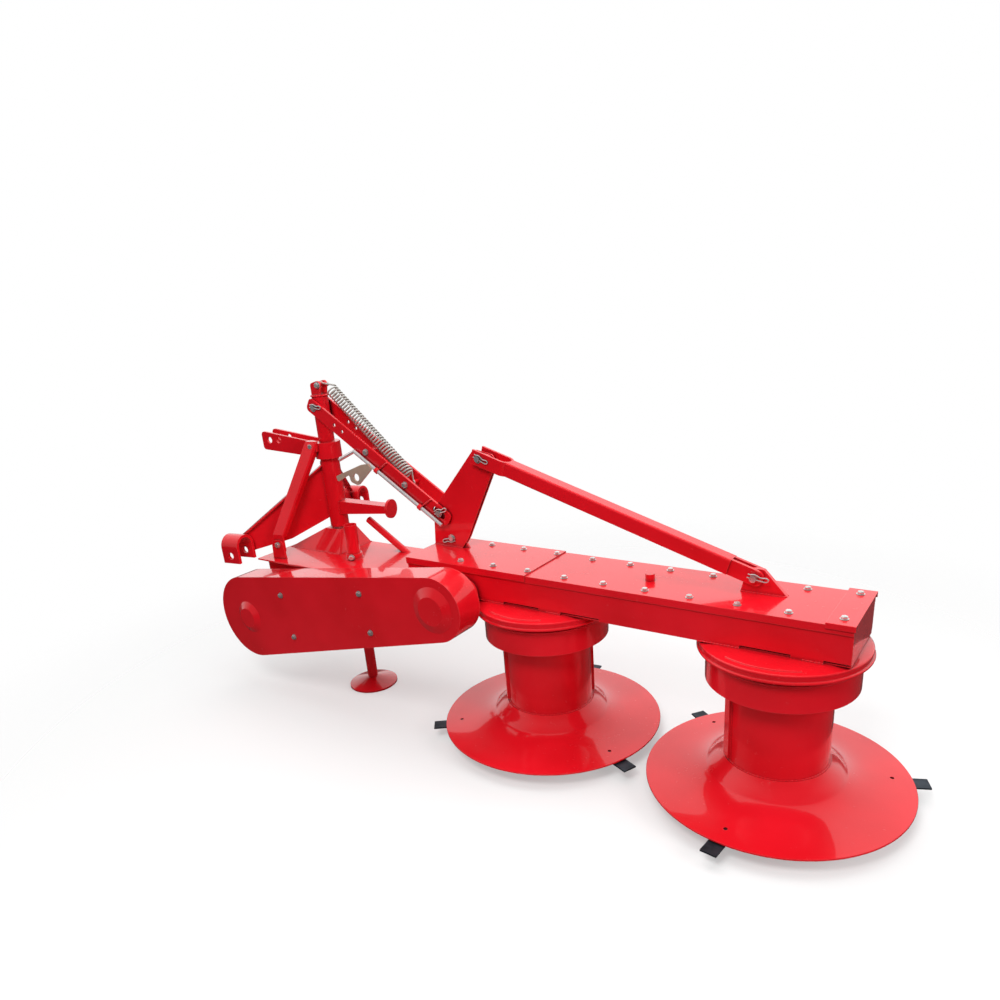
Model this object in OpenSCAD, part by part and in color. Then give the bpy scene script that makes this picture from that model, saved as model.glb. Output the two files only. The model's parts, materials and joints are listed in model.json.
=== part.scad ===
// Rear-mounted two-drum rotary mower, swung back behind its hitch and parked on its skids.
// Millimetres, +Z up, X along the cutter bar, ground at z = 0.

/* [Drums] */
// Gap between the rims of the two discs
rim_gap = 24; // [20:1:64]
// Diameter of the flared cutting disc
disc_d = 776; // [740:1:780]
// Thickness of the disc sheet
disc_t = 5; // [4:0.5:7]
// Height of the disc rim above the ground
rim_z = 60; // [58:1:80]
// Rise of the disc from its rim to the foot of the drum
flare_h = 78; // [60:1:90]
// Diameter of the drum tube
drum_d = 300; // [280:1:310]
// Wall of the drum tube and its head
drum_wall = 6; // [4:0.5:10]
// Length of the drum tube between disc and head
tube_h = 255; // [240:1:270]
// Diameter of the drum head
head_d = 428; // [410:1:440]
// Height of the drum head
head_h = 85; // [70:1:90]
// Diameter of the fixed spindle inside the drum
spindle_d = 50; // [40:1:60]
// How far the fixed cap stands out past the drum head
cap_over = 26; // [20:1:28]
// Height of the fixed cap
cap_h = 33; // [28:1:36]
// Knife width
knife_w = 48; // [40:1:52]
// Knife thickness
knife_t = 5; // [3:0.5:6]
// How far a knife stands out of the disc rim
knife_reach = 45; // [30:1:60]
// Knives on each drum
knife_count = 3; // [2:1:4]
// Diameter of the free-turning skid under a drum
skid_d = 520; // [440:1:560]
// Height of the skid dish
skid_h = 40; // [30:1:44]

/* [Cutter bar] */
// Outside width of the bar over its lid
bar_w = 262; // [240:1:280]
// Height of the bar
bar_h = 115; // [108:1:130]
// Inner end of the bar, measured from the first drum axis
bar_in = 500; // [490:1:520]
// How far the bar's outer end stays inside the cap's edge
bar_inset = 34; // [20:1:50]
// Thickness of the bar sheet
sheet_t = 4; // [3:0.5:6]
// Folded lip of the lid
lip_h = 19; // [12:1:24]
// Length of the doubler plate past the first drum axis
doubler_past = 12; // [0:1:60]
// Length of the end strip
strip_l = 70; // [50:1:90]
// How far the tilt trunnions reach in over the cap's edge
tilt_tuck = 13.6; // [8:0.1:18]
// Height of the tilt axis above the underside of the bar
tilt_up = 27; // [20:1:34]
// Diameter of the tilt trunnions
trunnion_d = 80; // [70:1:84]

/* [Lift linkage] */
// Thickness of the link bars and other flat plates
plate_t = 8; // [6:0.5:10]
// Thickness of a rocker plate
rocker_t = 6; // [5:0.5:8]
// Gap between the two rocker plates
rocker_gap = 8; // [6:1:12]
// Diameter of the linkage pins
pin_d = 20; // [16:1:22]
// Height of the flat link bars
link_h = 54; // [46:1:60]
// Outside diameter of the lift spring
spring_d = 44; // [36:1:50]
// Side of the strut tube
strut_w = 50; // [40:1:56]

/* [Carrier] */
// Distance of the swing post from the first drum axis
post_in = 1036; // [1010:1:1060]
// Offset of the swing post and lift linkage from the bar's middle line
post_off = 60; // [50:1:64]
// Diameter of the swing post
post_d = 64; // [56:1:70]
// Height of the post top above the ground
post_top = 1190; // [1180:1:1230]
// Thickness of the side rails
rail_t = 12; // [8:1:14]
// Depth of the side rails
rail_h = 101; // [90:1:110]
// How far the carrier runs on past the swing post
carrier_past = 234; // [215:1:250]
// Thickness of the carrier deck plate
deck_t = 6; // [4:0.5:8]
// Height of the deck's upper face above the ground
deck_z = 562; // [556:1:566]
// Diameter of the parking leg
leg_d = 42; // [36:1:46]
// Diameter of the parking foot
foot_d = 200; // [160:1:230]

/* [Belt drive] */
// Drop from the deck to the input shaft
input_drop = 212; // [200:1:222]
// Distance from the swing post to the input shaft
input_past = 199; // [180:1:205]
// Radius of the cover round the input pulley
cover_r_in = 172; // [160:1:180]
// Radius of the cover round the output pulley
cover_r_out = 114; // [108:1:116]
// Depth of the belt cover
cover_depth = 105; // [95:1:120]
// Clearance between the belt cover and the fixed cap
cover_clear = 10; // [8:1:20]
// Wall of the belt cover
cover_t = 3; // [2:0.5:5]
// Diameter of the splined input shaft
input_d = 34.9; // [30:0.1:36]

/* [Hitch] */
// Angle of the hitch past square when the mower is parked
park_angle = 9; // [4:1:12]
// Wall of the swing sleeve
sleeve_wall = 6; // [5:0.5:10]
// How far the collar stands out past the sleeve
collar_wall = 14.5; // [12:0.5:18]
// Lower-link point to the left of the post
link_left = 275; // [265:1:290]
// Lower-link point to the right of the post
link_right = 550; // [520:1:560]
// Lower-link points ahead of the post
link_ahead = 320; // [310:1:340]
// Height of the lower-link points above the deck
link_up = 38; // [34:1:48]
// Bore for the lower-link pins
link_bore = 28.8; // [22:0.1:29]
// Height of the top-link bore above the lower-link points
mast_h = 415; // [405:1:425]
// Top-link bore ahead of the post
top_ahead = 265; // [250:1:280]
// Bore for the top-link pin
top_bore = 25.7; // [19:0.1:26]
// Gap between the two top-link ears
ear_gap = 56; // [52:1:60]

/* [Clearances] */
// Radial clearance of a pin or shaft in its bore
fit = 0.05; // [0.02:0.01:0.1]
// Gap between parts that move past each other
gap = 5; // [5:0.5:6]
// Gap between a shaft end and its blind bore
seat_gap = 0.3; // [0.2:0.1:0.5]

/* [Hidden] */
$fn = 64;
RED = "crimson";
STEEL = "silver";
DARK = "slategray";
TAN = "tan";

// Heights that follow from the stack of disc, drum, cap and bar
drum_pitch = disc_d + rim_gap;
drum_z = rim_z + flare_h;
head_z = drum_z + tube_h;
head_top = head_z + head_h;
cap_d = head_d + 2 * cap_over;
cap_gap = 12;
cap_z = head_top + cap_gap;
bar_z = cap_z + cap_h;
bar_top = bar_z + bar_h;
lid_z = bar_top - sheet_t;
base_z = bar_top + sheet_t;
bar_x0 = -bar_in;
bar_x1 = drum_pitch + cap_d / 2 - bar_inset;
trough_w = bar_w - 2 * sheet_t;
tilt_in = sqrt(pow(cap_d / 2, 2) - pow(trough_w / 2, 2)) + trunnion_d / 2 - tilt_tuck;
tilt_x = -tilt_in;
tilt_z = bar_z + tilt_up;
skid_floor = 8;

// Shallow cone of the disc that sweeps up to the drum, as height over the rim at a share t of its width
flare_in = drum_d / 2 + 6;
flare_steps = 14;
function flare(t) = flare_h * (0.22 * t + 0.78 * pow(t, 5));
function flare_r(t) = disc_d / 2 - t * (disc_d / 2 - flare_in);
function flare_low(t) = [flare_r(t) - disc_t * t, rim_z - disc_t + flare(t)];

// Knives point so that the two drums mirror each other
knife_phase = 23.5;
knife_pivot_r = disc_d / 2 - 58;
knife_tip_r = disc_d / 2 + knife_reach;
knife_z = rim_z - disc_t - gap - knife_t;

// Post and lift linkage, the rocker close beside the near link bar
post_x = -post_in;
post_y = post_off;
sleeve_d = post_d + 2 * sleeve_wall;
collar_d = sleeve_d + 2 * collar_wall;
ring_z = deck_z + 88;
ring_t = 6;
sleeve_z = ring_z + ring_t + seat_gap;
link_top_z = post_top - 48;
collar_h = 64;
collar_z = link_top_z - 137 - collar_h;
rocker_pin = [bar_x0 + 48, bar_top + 131];
rocker_top = [bar_x0 + 256, bar_top + 342];
rocker_base = [bar_x0 + 88, bar_top + 35];
rocker_face = rocker_gap / 2 + rocker_t;
link_face = post_d / 2 + 2;
rocker_y = post_y - link_face + gap + rocker_face;
link_run = rocker_pin - [post_x, link_top_z];
link_len = norm(link_run);
link_pitch = atan2(link_run[1], link_run[0]);
slot_play = 18;
slot_w = pin_d + 6;
spacer_at = [302, 516];
spacer_d = 14;
bolt_at = [20, 40];
bolt_d = 12;
latch_d = 14;
latch_y = -link_face - plate_t - latch_d / 2 - 3;
latch_z = -link_h / 2;
hook_at = link_len - 348;
pin_over = 8;
strut_foot = [drum_pitch - 92, 20, bar_top + 49];
strut_ear_t = 14;
clevis_in = rocker_face + 14;

// Carrier between the two side rails
rail_in = bar_w / 2 + sheet_t + 2 * gap;
carrier_in = post_in + carrier_past;
deck_x0 = -carrier_in;
deck_x1 = bar_x0 - 30;
rail_top = deck_z - deck_t;
rail_z = rail_top - rail_h;
boss_r = trunnion_d / 2 + 14;
boss_past = 14;

// Belt cover runs from the tilt axis down to the input shaft
cover_back = sqrt(pow(cap_d / 2, 2) - pow(max(0, tilt_in - cover_r_out), 2)) + cover_clear;
cover_front = -cover_back - cover_depth;
deck_near = -cover_back + 14;
input_x = post_x - input_past;
input_z = deck_z - input_drop;
shaft_d = input_d + 8;
housing_end = 20;
belt_run = [input_x - tilt_x, input_z - tilt_z];
belt_len = norm(belt_run);
belt_dir = atan2(belt_run[1], belt_run[0]);

// Parking leg beside the post
leg_x = post_x + 166;
leg_y = post_y - 100;
leg_sleeve_d = leg_d + 10;
leg_top = deck_z + 3;
leg_sleeve_top = deck_z + 138;

// Hitch frame, with x ahead and y to the left of the post
link_z = deck_z + link_up;
loop_t = 12;
loop_gap = 71;
loop_w = 85;
loop_half = loop_gap / 2 + loop_t;
loop_rise = 78;
loop_drop = link_up - gap - 1;
pin_relief = 12;
ear_t = 10;
ear_h = 75;
top_z = link_z + mast_h;
lock_w = 50;
lock_t = 8;
lock_pin_d = 16;
lock_foot = [168, 190, deck_z + 58];

// Box of the parked mower, which centres the frame
function hitch_xy(a, b) = [post_x, post_y] + a * [-cos(park_angle), -sin(park_angle)]
    + b * [sin(park_angle), -cos(park_angle)];
box_x0 = hitch_xy(link_ahead + loop_w / 2, -link_right - loop_half)[0];
box_y1 = hitch_xy(link_ahead - loop_w / 2, -link_right - loop_half)[1];
box_x1 = drum_pitch + knife_tip_r * cos(knife_phase) + knife_w / 2 * sin(knife_phase);
box_y0 = -knife_tip_r * cos(30 - knife_phase) - knife_w / 2 * sin(30 - knife_phase);
frame_shift = [-(box_x0 + box_x1) / 2, -(box_y0 + box_y1) / 2, 0];

// Outline with rounded corners, from [x, y, radius] rows
function unit(v) = v / norm(v);
function xy(p) = [p[0], p[1]];
function corner(p, q, s, r, n) =
    let (u = unit(p - q), w = unit(s - q), half = acos(u * w) / 2)
    let (c = q + unit(u + w) * r / sin(half), reach = r / tan(half))
    let (e0 = q + u * reach - c, e1 = q + w * reach - c, a0 = atan2(e0[1], e0[0]))
    let (turn = atan2(e0[0] * e1[1] - e0[1] * e1[0], e0 * e1))
    [for (i = [0:n]) c + r * [cos(a0 + turn * i / n), sin(a0 + turn * i / n)]];
function rounded(rows, n = 6) = let (m = len(rows))
    [for (i = [0:m - 1]) each rows[i][2] == 0 ? [xy(rows[i])]
        : corner(xy(rows[(i + m - 1) % m]), xy(rows[i]), xy(rows[(i + 1) % m]), rows[i][2], n)];

// Upright plate with its outline in X and Z, its thickness from y0 to y1
module upright(y0, y1) translate([0, y1, 0]) rotate([90, 0, 0]) linear_extrude(y1 - y0) children();
// Round bar along Y
module bar_y(x, z, d, y0, y1) translate([x, y0, z]) rotate([-90, 0, 0]) cylinder(d = d, h = y1 - y0);
// Round bar between two points
module rod(p, q, d) {
    run = q - p;
    translate(p)
        rotate([0, acos(run[2] / norm(run)), atan2(run[1], run[0])])
            cylinder(d = d, h = norm(run));
}
// Round wire along a path, its sections carried from point to point without twist
function along(path, i) = unit(path[min(i + 1, len(path) - 1)] - path[max(i - 1, 0)]);
function carried(n, t) = unit(n - (n * t) * t);
module wire(path, d, start, sides = 5) {
    last = len(path) - 1;
    normals = [for (i = 0, n = carried(start, along(path, 0)); i <= last;
        i = i + 1, n = carried(n, along(path, min(i, last)))) n];
    points = [for (i = [0:last], k = [0:sides - 1])
        let (n = normals[i], side = cross(along(path, i), n), a = 360 * k / sides)
        path[i] + d / 2 * (cos(a) * n + sin(a) * side)];
    skin = [for (i = [0:last - 1], k = [0:sides - 1])
        let (a = i * sides + k, b = i * sides + (k + 1) % sides)
        each [[a, a + sides, b], [b, a + sides, b + sides]]];
    ends = [[for (k = [0:sides - 1]) k], [for (k = [sides - 1:-1:0]) last * sides + k]];
    polyhedron(points, concat(skin, ends));
}
module at_hitch() translate([post_x, post_y, 0]) rotate(180 + park_angle) children();
module at_link() translate([post_x, post_y, link_top_z]) rotate([0, -link_pitch, 0]) children();
module at_drum(i) translate([i * drum_pitch, 0, 0]) children();

// Carrier
module swing_post() {
    ear_span = 34;
    color(RED) {
        difference() {
            translate([post_x, post_y, deck_z]) cylinder(d = post_d, h = post_top - deck_z);
            bar_y(post_x, link_top_z, pin_d, post_y - post_d, post_y + post_d);
        }
        for (side = [-1, 1])
            translate([post_x, post_y + side * ear_span / 2, post_top])
                spring_ear();
        bar_y(post_x + bolt_at[0], post_top + bolt_at[1], bolt_d, post_y - ear_span / 2,
            post_y + ear_span / 2);
    }
}
module spring_ear() {
    ear_back = 22;
    ear_fore = bolt_at[0] + 16;
    ear_up = bolt_at[1] + 16;
    upright(-plate_t / 2, plate_t / 2)
        polygon(rounded([[-ear_back, 0, 0], [ear_fore - 12, 0, 0], [ear_fore, ear_up, 14],
            [-ear_back, ear_up - 14, 12]]));
}
module post_ring() {
    color(STEEL)
        translate([post_x, post_y, ring_z])
            difference() {
                cylinder(d = sleeve_d + 6, h = ring_t);
                translate([0, 0, -1]) cylinder(d = post_d + 2 * fit, h = ring_t + 2);
            }
}
module post_roof() {
    rail_inset = 4;
    crown_past = 5;
    toe_in = 10;
    toe_out = 30;
    base_half = rail_in + rail_t - post_y - rail_inset;
    crown = sleeve_d / 2 + crown_past;
    color(RED)
        difference() {
            intersection() {
                upright(post_y - base_half, post_y + base_half)
                    polygon([[deck_x0 + toe_in, deck_z], [post_x + crown + toe_out, deck_z],
                        [post_x + crown, ring_z], [post_x - crown, ring_z]]);
                translate([deck_x0, post_y, 0]) rotate([90, 0, 90]) linear_extrude(carrier_in)
                    polygon([[-base_half, deck_z], [base_half, deck_z], [crown, ring_z], [-crown, ring_z]]);
            }
            translate([post_x, post_y, deck_z - 1]) cylinder(d = post_d, h = post_top);
            translate([leg_x, leg_y, deck_z - 1]) cylinder(d = leg_sleeve_d + 2 * gap, h = post_top);
        }
}
module deck() {
    color(RED)
        difference() {
            translate([deck_x0, deck_near, deck_z - deck_t])
                cube([deck_x1 - deck_x0, rail_in + rail_t - deck_near, deck_t]);
            translate([leg_x, leg_y, 0]) cylinder(d = leg_sleeve_d, h = post_top);
        }
}
module rail(y0) {
    fork_in = deck_x1 + 40;
    fork_r = 60;
    upright(y0, y0 + rail_t)
        difference() {
            union() {
                polygon(rounded([[deck_x0, rail_z, 12], [fork_in, rail_z, fork_r],
                    [tilt_x, tilt_z - boss_r, 0],
                    [tilt_x, tilt_z + boss_r, 0], [fork_in + 20, rail_top, fork_r], [deck_x0, rail_top, 0]]));
                translate([tilt_x, tilt_z]) circle(r = boss_r);
            }
            translate([tilt_x, tilt_z]) circle(d = trunnion_d + 2 * fit);
        }
}
module boss(y0, y1) {
    difference() {
        bar_y(tilt_x, tilt_z, 2 * boss_r, y0, y1);
        bar_y(tilt_x, tilt_z, trunnion_d + 2 * fit, y0 - 1, y1 + 1);
    }
}
module rail_near() {
    color(RED) {
        rail(-rail_in - rail_t);
        boss(-cover_back + sheet_t, -rail_in);
    }
}
module rail_far() {
    color(RED) {
        rail(rail_in);
        boss(rail_in, rail_in + rail_t + boss_past);
    }
}
module cross_plates() {
    end_in = 2;
    plate_x = [deck_x0 + end_in, post_x - 100, leg_x + 60, deck_x1 - sheet_t - end_in];
    color(RED)
        for (x = plate_x)
            translate([x, -rail_in, rail_z])
                cube([sheet_t, 2 * rail_in, rail_h]);
}
module leg_sleeve() {
    band_d = leg_sleeve_d + 14;
    band_h = 22;
    color(RED)
        translate([leg_x, leg_y, rail_z])
            difference() {
                union() {
                    cylinder(d = leg_sleeve_d, h = leg_sleeve_top - rail_z);
                    translate([0, 0, deck_z - rail_z]) cylinder(d = band_d, h = band_h);
                }
                translate([0, 0, -1]) cylinder(d = leg_d + 2 * fit, h = leg_sleeve_top - rail_z + 2);
            }
}
module lock_lug() {
    lug_half = 30;
    lug_r = 20;
    face = lock_foot[1] + lock_t + seat_gap;
    color(RED)
        at_hitch()
            upright(face, face + plate_t)
                difference() {
                    polygon(rounded([[lock_foot[0] - lug_half, deck_z, 0],
                        [lock_foot[0] + lug_half + 6, deck_z, 0],
                        [lock_foot[0] + lug_half, lock_foot[2] + lug_r, lug_r - 2],
                        [lock_foot[0] - lug_half + 6, lock_foot[2] + lug_r, lug_r - 2]]));
                    translate([lock_foot[0], lock_foot[2]]) circle(d = lock_pin_d);
                }
}
module safety_rod() {
    rod_d = 28;
    rod_y = rail_in - 45;
    low = [post_x + 276, rod_y, deck_z + 26];
    high = [post_x + 131, rod_y, deck_z + 118];
    foot = low - (high - low) * 0.6;
    color(RED)
        difference() {
            rod(foot, high, rod_d);
            translate([foot[0] - 4 * rod_d, rod_y - rod_d, deck_z - 4 * rod_d])
                cube([6 * rod_d, 2 * rod_d, 4 * rod_d]);
        }
}
// Belt drive
module belt_outline(shrink = 0) {
    r0 = cover_r_out - shrink;
    r1 = cover_r_in - shrink;
    lean = asin((r1 - r0) / belt_len);
    translate([tilt_x, tilt_z])
        rotate(belt_dir) {
            circle(r = r0);
            translate([belt_len, 0]) circle(r = r1);
            polygon([for (side = [-1, 1], far = side > 0 ? [1, 0] : [0, 1])
                [far * belt_len, 0] + (far == 1 ? r1 : r0) * [-sin(lean), side * cos(lean)]]);
        }
}
module bulge(x, z, d, rise) {
    translate([x, cover_front, z]) rotate([90, 0, 0]) cylinder(d1 = d, d2 = d * 0.62, h = rise);
}
module belt_cover() {
    bulge_in = 134;
    bulge_out = 164;
    bulge_h = 14;
    color(RED) {
        difference() {
            upright(cover_front, -cover_back) belt_outline();
            upright(cover_front + cover_t, -cover_back + 1) belt_outline(cover_t);
        }
        bulge(input_x, input_z, bulge_in, bulge_h);
        bulge(tilt_x, tilt_z, bulge_out, bulge_h);
    }
}
module belt_back() {
    color(RED)
        difference() {
            upright(-cover_back, -cover_back + sheet_t) belt_outline();
            bar_y(tilt_x, tilt_z, trunnion_d + 2 * gap, -cover_back - 1, -cover_back + sheet_t + 1);
            bar_y(input_x, input_z, shaft_d + 2 * gap, -cover_back - 1, -cover_back + sheet_t + 1);
        }
}
module input_housing() {
    housing_d = 90;
    hanger_w = 70;
    hanger_y = [-rail_in - rail_t, -30];
    color(RED)
        difference() {
            union() {
                bar_y(input_x, input_z, housing_d, -cover_back + sheet_t, housing_end);
                for (y = hanger_y)
                    translate([input_x - hanger_w / 2, y, input_z])
                        cube([hanger_w, rail_t, rail_z - input_z]);
            }
            bar_y(input_x, input_z, shaft_d + 2 * fit, -cover_back, housing_end + 1);
        }
}
module input_shaft() {
    stub = 95;
    hub_l = 60;
    hub_d = shaft_d + 32;
    color(STEEL) {
        bar_y(input_x, input_z, shaft_d, -cover_back - hub_l, housing_end);
        bar_y(input_x, input_z, input_d, housing_end, housing_end + stub);
        bar_y(input_x, input_z, hub_d, -cover_back - hub_l, -cover_back - 2 * gap);
    }
}
// Link pin through the post
module link_pin() {
    color(STEEL)
        bar_y(post_x, link_top_z, pin_d, post_y - link_face - plate_t - pin_over,
            post_y + link_face + plate_t + pin_over);
}

// Parking leg
module parking_leg() {
    rim_h = 8;
    dome_h = 24;
    color(RED)
        translate([leg_x, leg_y, 0]) {
            cylinder(d = leg_d, h = leg_top);
            cylinder(d = foot_d, h = rim_h);
            translate([0, 0, rim_h]) cylinder(d1 = foot_d, d2 = leg_d, h = dome_h);
        }
}

// Hitch frame
module hitch_sleeve() {
    sleeve_h = collar_z + collar_h - sleeve_z;
    color(RED)
        at_hitch()
            translate([0, 0, sleeve_z])
                difference() {
                    union() {
                        cylinder(d = sleeve_d, h = sleeve_h - collar_h);
                        translate([0, 0, sleeve_h - collar_h]) cylinder(d = collar_d, h = collar_h);
                    }
                    translate([0, 0, -1]) cylinder(d = post_d + 2 * fit, h = sleeve_h + 2);
                }
}
module top_ears() {
    ear_past = 38;
    second_hole = 48;
    color(RED)
        at_hitch()
            difference() {
                for (side = [-1, 1])
                    upright(side * (ear_gap + ear_t) / 2 - ear_t / 2,
                        side * (ear_gap + ear_t) / 2 + ear_t / 2)
                        difference() {
                            polygon(rounded([[0, collar_z + 2, 0],
                                [top_ahead + ear_past, top_z - ear_h / 2, 14],
                                [top_ahead + ear_past, top_z + ear_h / 2, 14],
                                    [0, collar_z + collar_h - 4, 0]]));
                            translate([top_ahead, top_z]) circle(d = top_bore);
                            translate([top_ahead - second_hole, top_z]) circle(d = top_bore);
                        }
                translate([0, 0, sleeve_z]) cylinder(d = collar_d, h = post_top);
            }
}
module wing(side, out) {
    past = 60;
    flange_w = 36;
    face = out - loop_half;
    bearing = atan2(face, link_ahead);
    run = norm([face, link_ahead]) + past;
    root = sleeve_d / 4;
    root_z = sleeve_z + 45;
    top_in = collar_z - 14;
    top_out = link_z + 66 - (top_in - link_z - 66) * past / (run - past);
    difference() {
        rotate(side * bearing) {
            upright(-plate_t / 2, plate_t / 2)
                polygon(rounded([[root, root_z, 0], [run * 0.45, link_z + 22, 40], [run, link_z - 24, 0],
                    [run, top_out, 0], [root, top_in, 0]]));
            upright(-flange_w / 2, flange_w / 2)
                polygon([[root, top_in - plate_t], [run, top_out - plate_t], [run, top_out], [root, top_in]]);
        }
        translate([0, 0, sleeve_z]) cylinder(d = sleeve_d, h = post_top);
        translate([0, side > 0 ? face : -face - run, 0]) cube([2 * run, run, post_top]);
        bar_y(link_ahead, link_z, link_bore + 2 * pin_relief, -run, run);
    }
}
module wing_left() {
    color(RED) at_hitch() wing(1, link_left);
}
module wing_right() {
    color(RED) at_hitch() wing(-1, link_right);
}
module loop(y) {
    crown_z = link_z + loop_rise - loop_half;
    translate([link_ahead - loop_w / 2, y, 0])
        rotate([90, 0, 90])
            linear_extrude(loop_w)
                difference() {
                    union() {
                        translate([0, crown_z]) circle(r = loop_half);
                        translate([-loop_half, link_z - loop_drop])
                            square([2 * loop_half, crown_z - link_z + loop_drop]);
                    }
                    translate([0, crown_z]) circle(r = loop_gap / 2);
                    translate([-loop_gap / 2, link_z - loop_drop - 1])
                        square([loop_gap, crown_z - link_z + loop_drop + 1]);
                }
}
module link_loop(y) {
    difference() {
        loop(y);
        bar_y(link_ahead, link_z, link_bore, y - loop_half - 1, y + loop_half + 1);
    }
}
module loop_left() {
    color(RED) at_hitch() link_loop(link_left);
}
module loop_right() {
    color(RED) at_hitch() link_loop(-link_right);
}
module stop_arm() {
    arm_z = sleeve_z + 80;
    arm_l = 262;
    root_h = 58;
    tip_h = 30;
    tip_t = 6;
    arm_w = 50;
    pad_d = 76;
    pad_t = 10;
    color(RED)
        at_hitch()
            difference() {
                union() {
                    upright(-arm_w / 2, arm_w / 2)
                        polygon([[0, arm_z - root_h / 2], [-arm_l, arm_z - tip_h / 2],
                            [-arm_l, arm_z + tip_h / 2],
                            [0, arm_z + root_h / 2]]);
                    translate([-arm_l - pad_t, 0, arm_z]) rotate([0, 90, 0]) cylinder(d = pad_d, h = pad_t);
                }
                translate([0, 0, sleeve_z]) cylinder(d = sleeve_d, h = post_top);
                upright(-arm_w / 2 + plate_t, arm_w / 2 - plate_t)
                    polygon([[0, arm_z - root_h], [-arm_l + tip_t, arm_z - root_h],
                        [-arm_l + tip_t, arm_z + tip_h / 2 - plate_t], [0, arm_z + root_h / 2 - plate_t]]);
            }
}
// Folded bar that pins the hitch to the carrier: head on the ear, slanting channel, upright foot
module lock_bar() {
    head_h = 40;
    head_x = 30;
    head_y = collar_d / 2 + 6;
    head_z0 = collar_z + collar_h - 30;
    foot_h = 66;
    foot_low = 30;
    fold = 26;
    ear_face = ear_gap / 2 + ear_t + seat_gap;
    left = [head_x - lock_w / 2, head_y, head_z0 + head_h / 2];
    low = [lock_foot[0] - lock_w / 2, lock_foot[1], lock_foot[2] + foot_low];
    color(RED)
        at_hitch()
            difference() {
                union() {
                    hull() {
                        translate(left) cube([lock_w, lock_t, head_h / 2]);
                        translate(low) cube([lock_w, lock_t, head_h / 4]);
                    }
                    hull() {
                        translate(left - [0, fold - lock_t, 0]) cube([lock_t, fold, head_h / 2]);
                        translate(low - [0, fold - lock_t, 0]) cube([lock_t, fold, head_h / 4]);
                    }
                    translate([low[0], low[1], lock_foot[2] - foot_low]) cube([lock_w, lock_t, foot_h]);
                    translate([left[0], ear_face, head_z0])
                        cube([lock_w, head_y + lock_t - ear_face, head_h]);
                }
                translate([0, 0, sleeve_z]) cylinder(d = collar_d, h = post_top);
                bar_y(lock_foot[0], lock_foot[2], lock_pin_d, lock_foot[1] - 1, lock_foot[1] + lock_t + 1);
            }
}

// Lift link between post and rocker
module link_bars() {
    tail = 34;
    hole_d = 14;
    hole_at = [120, 165];
    color(RED)
        at_link() {
            for (side = [-1, 1])
                upright(side * (link_face + plate_t / 2) - plate_t / 2,
                    side * (link_face + plate_t / 2) + plate_t / 2)
                    difference() {
                        polygon(rounded([[-tail, -link_h / 2, 16],
                            [link_len + tail + slot_play, -link_h / 2, 16],
                            [link_len + tail + slot_play, link_h / 2, 16], [-tail, link_h / 2, 16]]));
                        circle(d = pin_d + 2 * fit);
                        translate([link_len - slot_play, 0]) circle(d = slot_w);
                        translate([link_len + slot_play, 0]) circle(d = slot_w);
                        translate([link_len - slot_play, -slot_w / 2]) square([2 * slot_play, slot_w]);
                        for (x = hole_at) translate([x, 0]) circle(d = hole_d);
                    }
            for (x = spacer_at)
                translate([x, -link_face, 0]) rotate([-90, 0, 0]) cylinder(d = spacer_d, h = 2 * link_face);
            for (x = [hook_at + 38, link_len - 76])
                latch_clip(x);
        }
}
// Eye round the latch rod on a wire that runs up over the bar's near face
module latch_clip(x) {
    eye_l = 14;
    eye_wall = 4;
    wire_d = 7;
    lean = 26;
    wire_y = -link_face - plate_t - wire_d / 2 + 1;
    difference() {
        union() {
            rod([x + lean, wire_y, link_h / 2], [x, wire_y, latch_z], wire_d);
            translate([x - eye_l / 2, latch_y, latch_z]) rotate([0, 90, 0])
                cylinder(d = latch_d + 2 * eye_wall, h = eye_l);
        }
        translate([x - lean, latch_y, latch_z]) rotate([0, 90, 0])
            cylinder(d = latch_d + 2 * fit, h = 2 * lean);
    }
}
module latch_rod() {
    low = [link_len + 36, latch_y, latch_z];
    bend = [255, latch_y, latch_z];
    tip = bend + [-52, 0, -76];
    color(STEEL)
        at_link() {
            rod(low, bend, latch_d);
            translate(bend) sphere(d = latch_d);
            rod(bend, tip, latch_d);
        }
}
module latch_hook() {
    strap_t = 6;
    eye_r = 15;
    hook_y = latch_y - latch_d / 2 - seat_gap;
    top = [hook_at, latch_z + 8];
    outline = [[0, 0, 6], [22, -12, 6], [-10, -112, 20], [-50, -122, 14], [-68, -100, 8], [-108, -166, 8],
        [-126, -150, 6], [-32, -28, 10]];
    color(TAN)
        at_link()
            upright(hook_y - strap_t, hook_y)
                translate(top)
                    difference() {
                        polygon(rounded(outline));
                        translate([-32, -88]) circle(r = eye_r);
                    }
}
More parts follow.
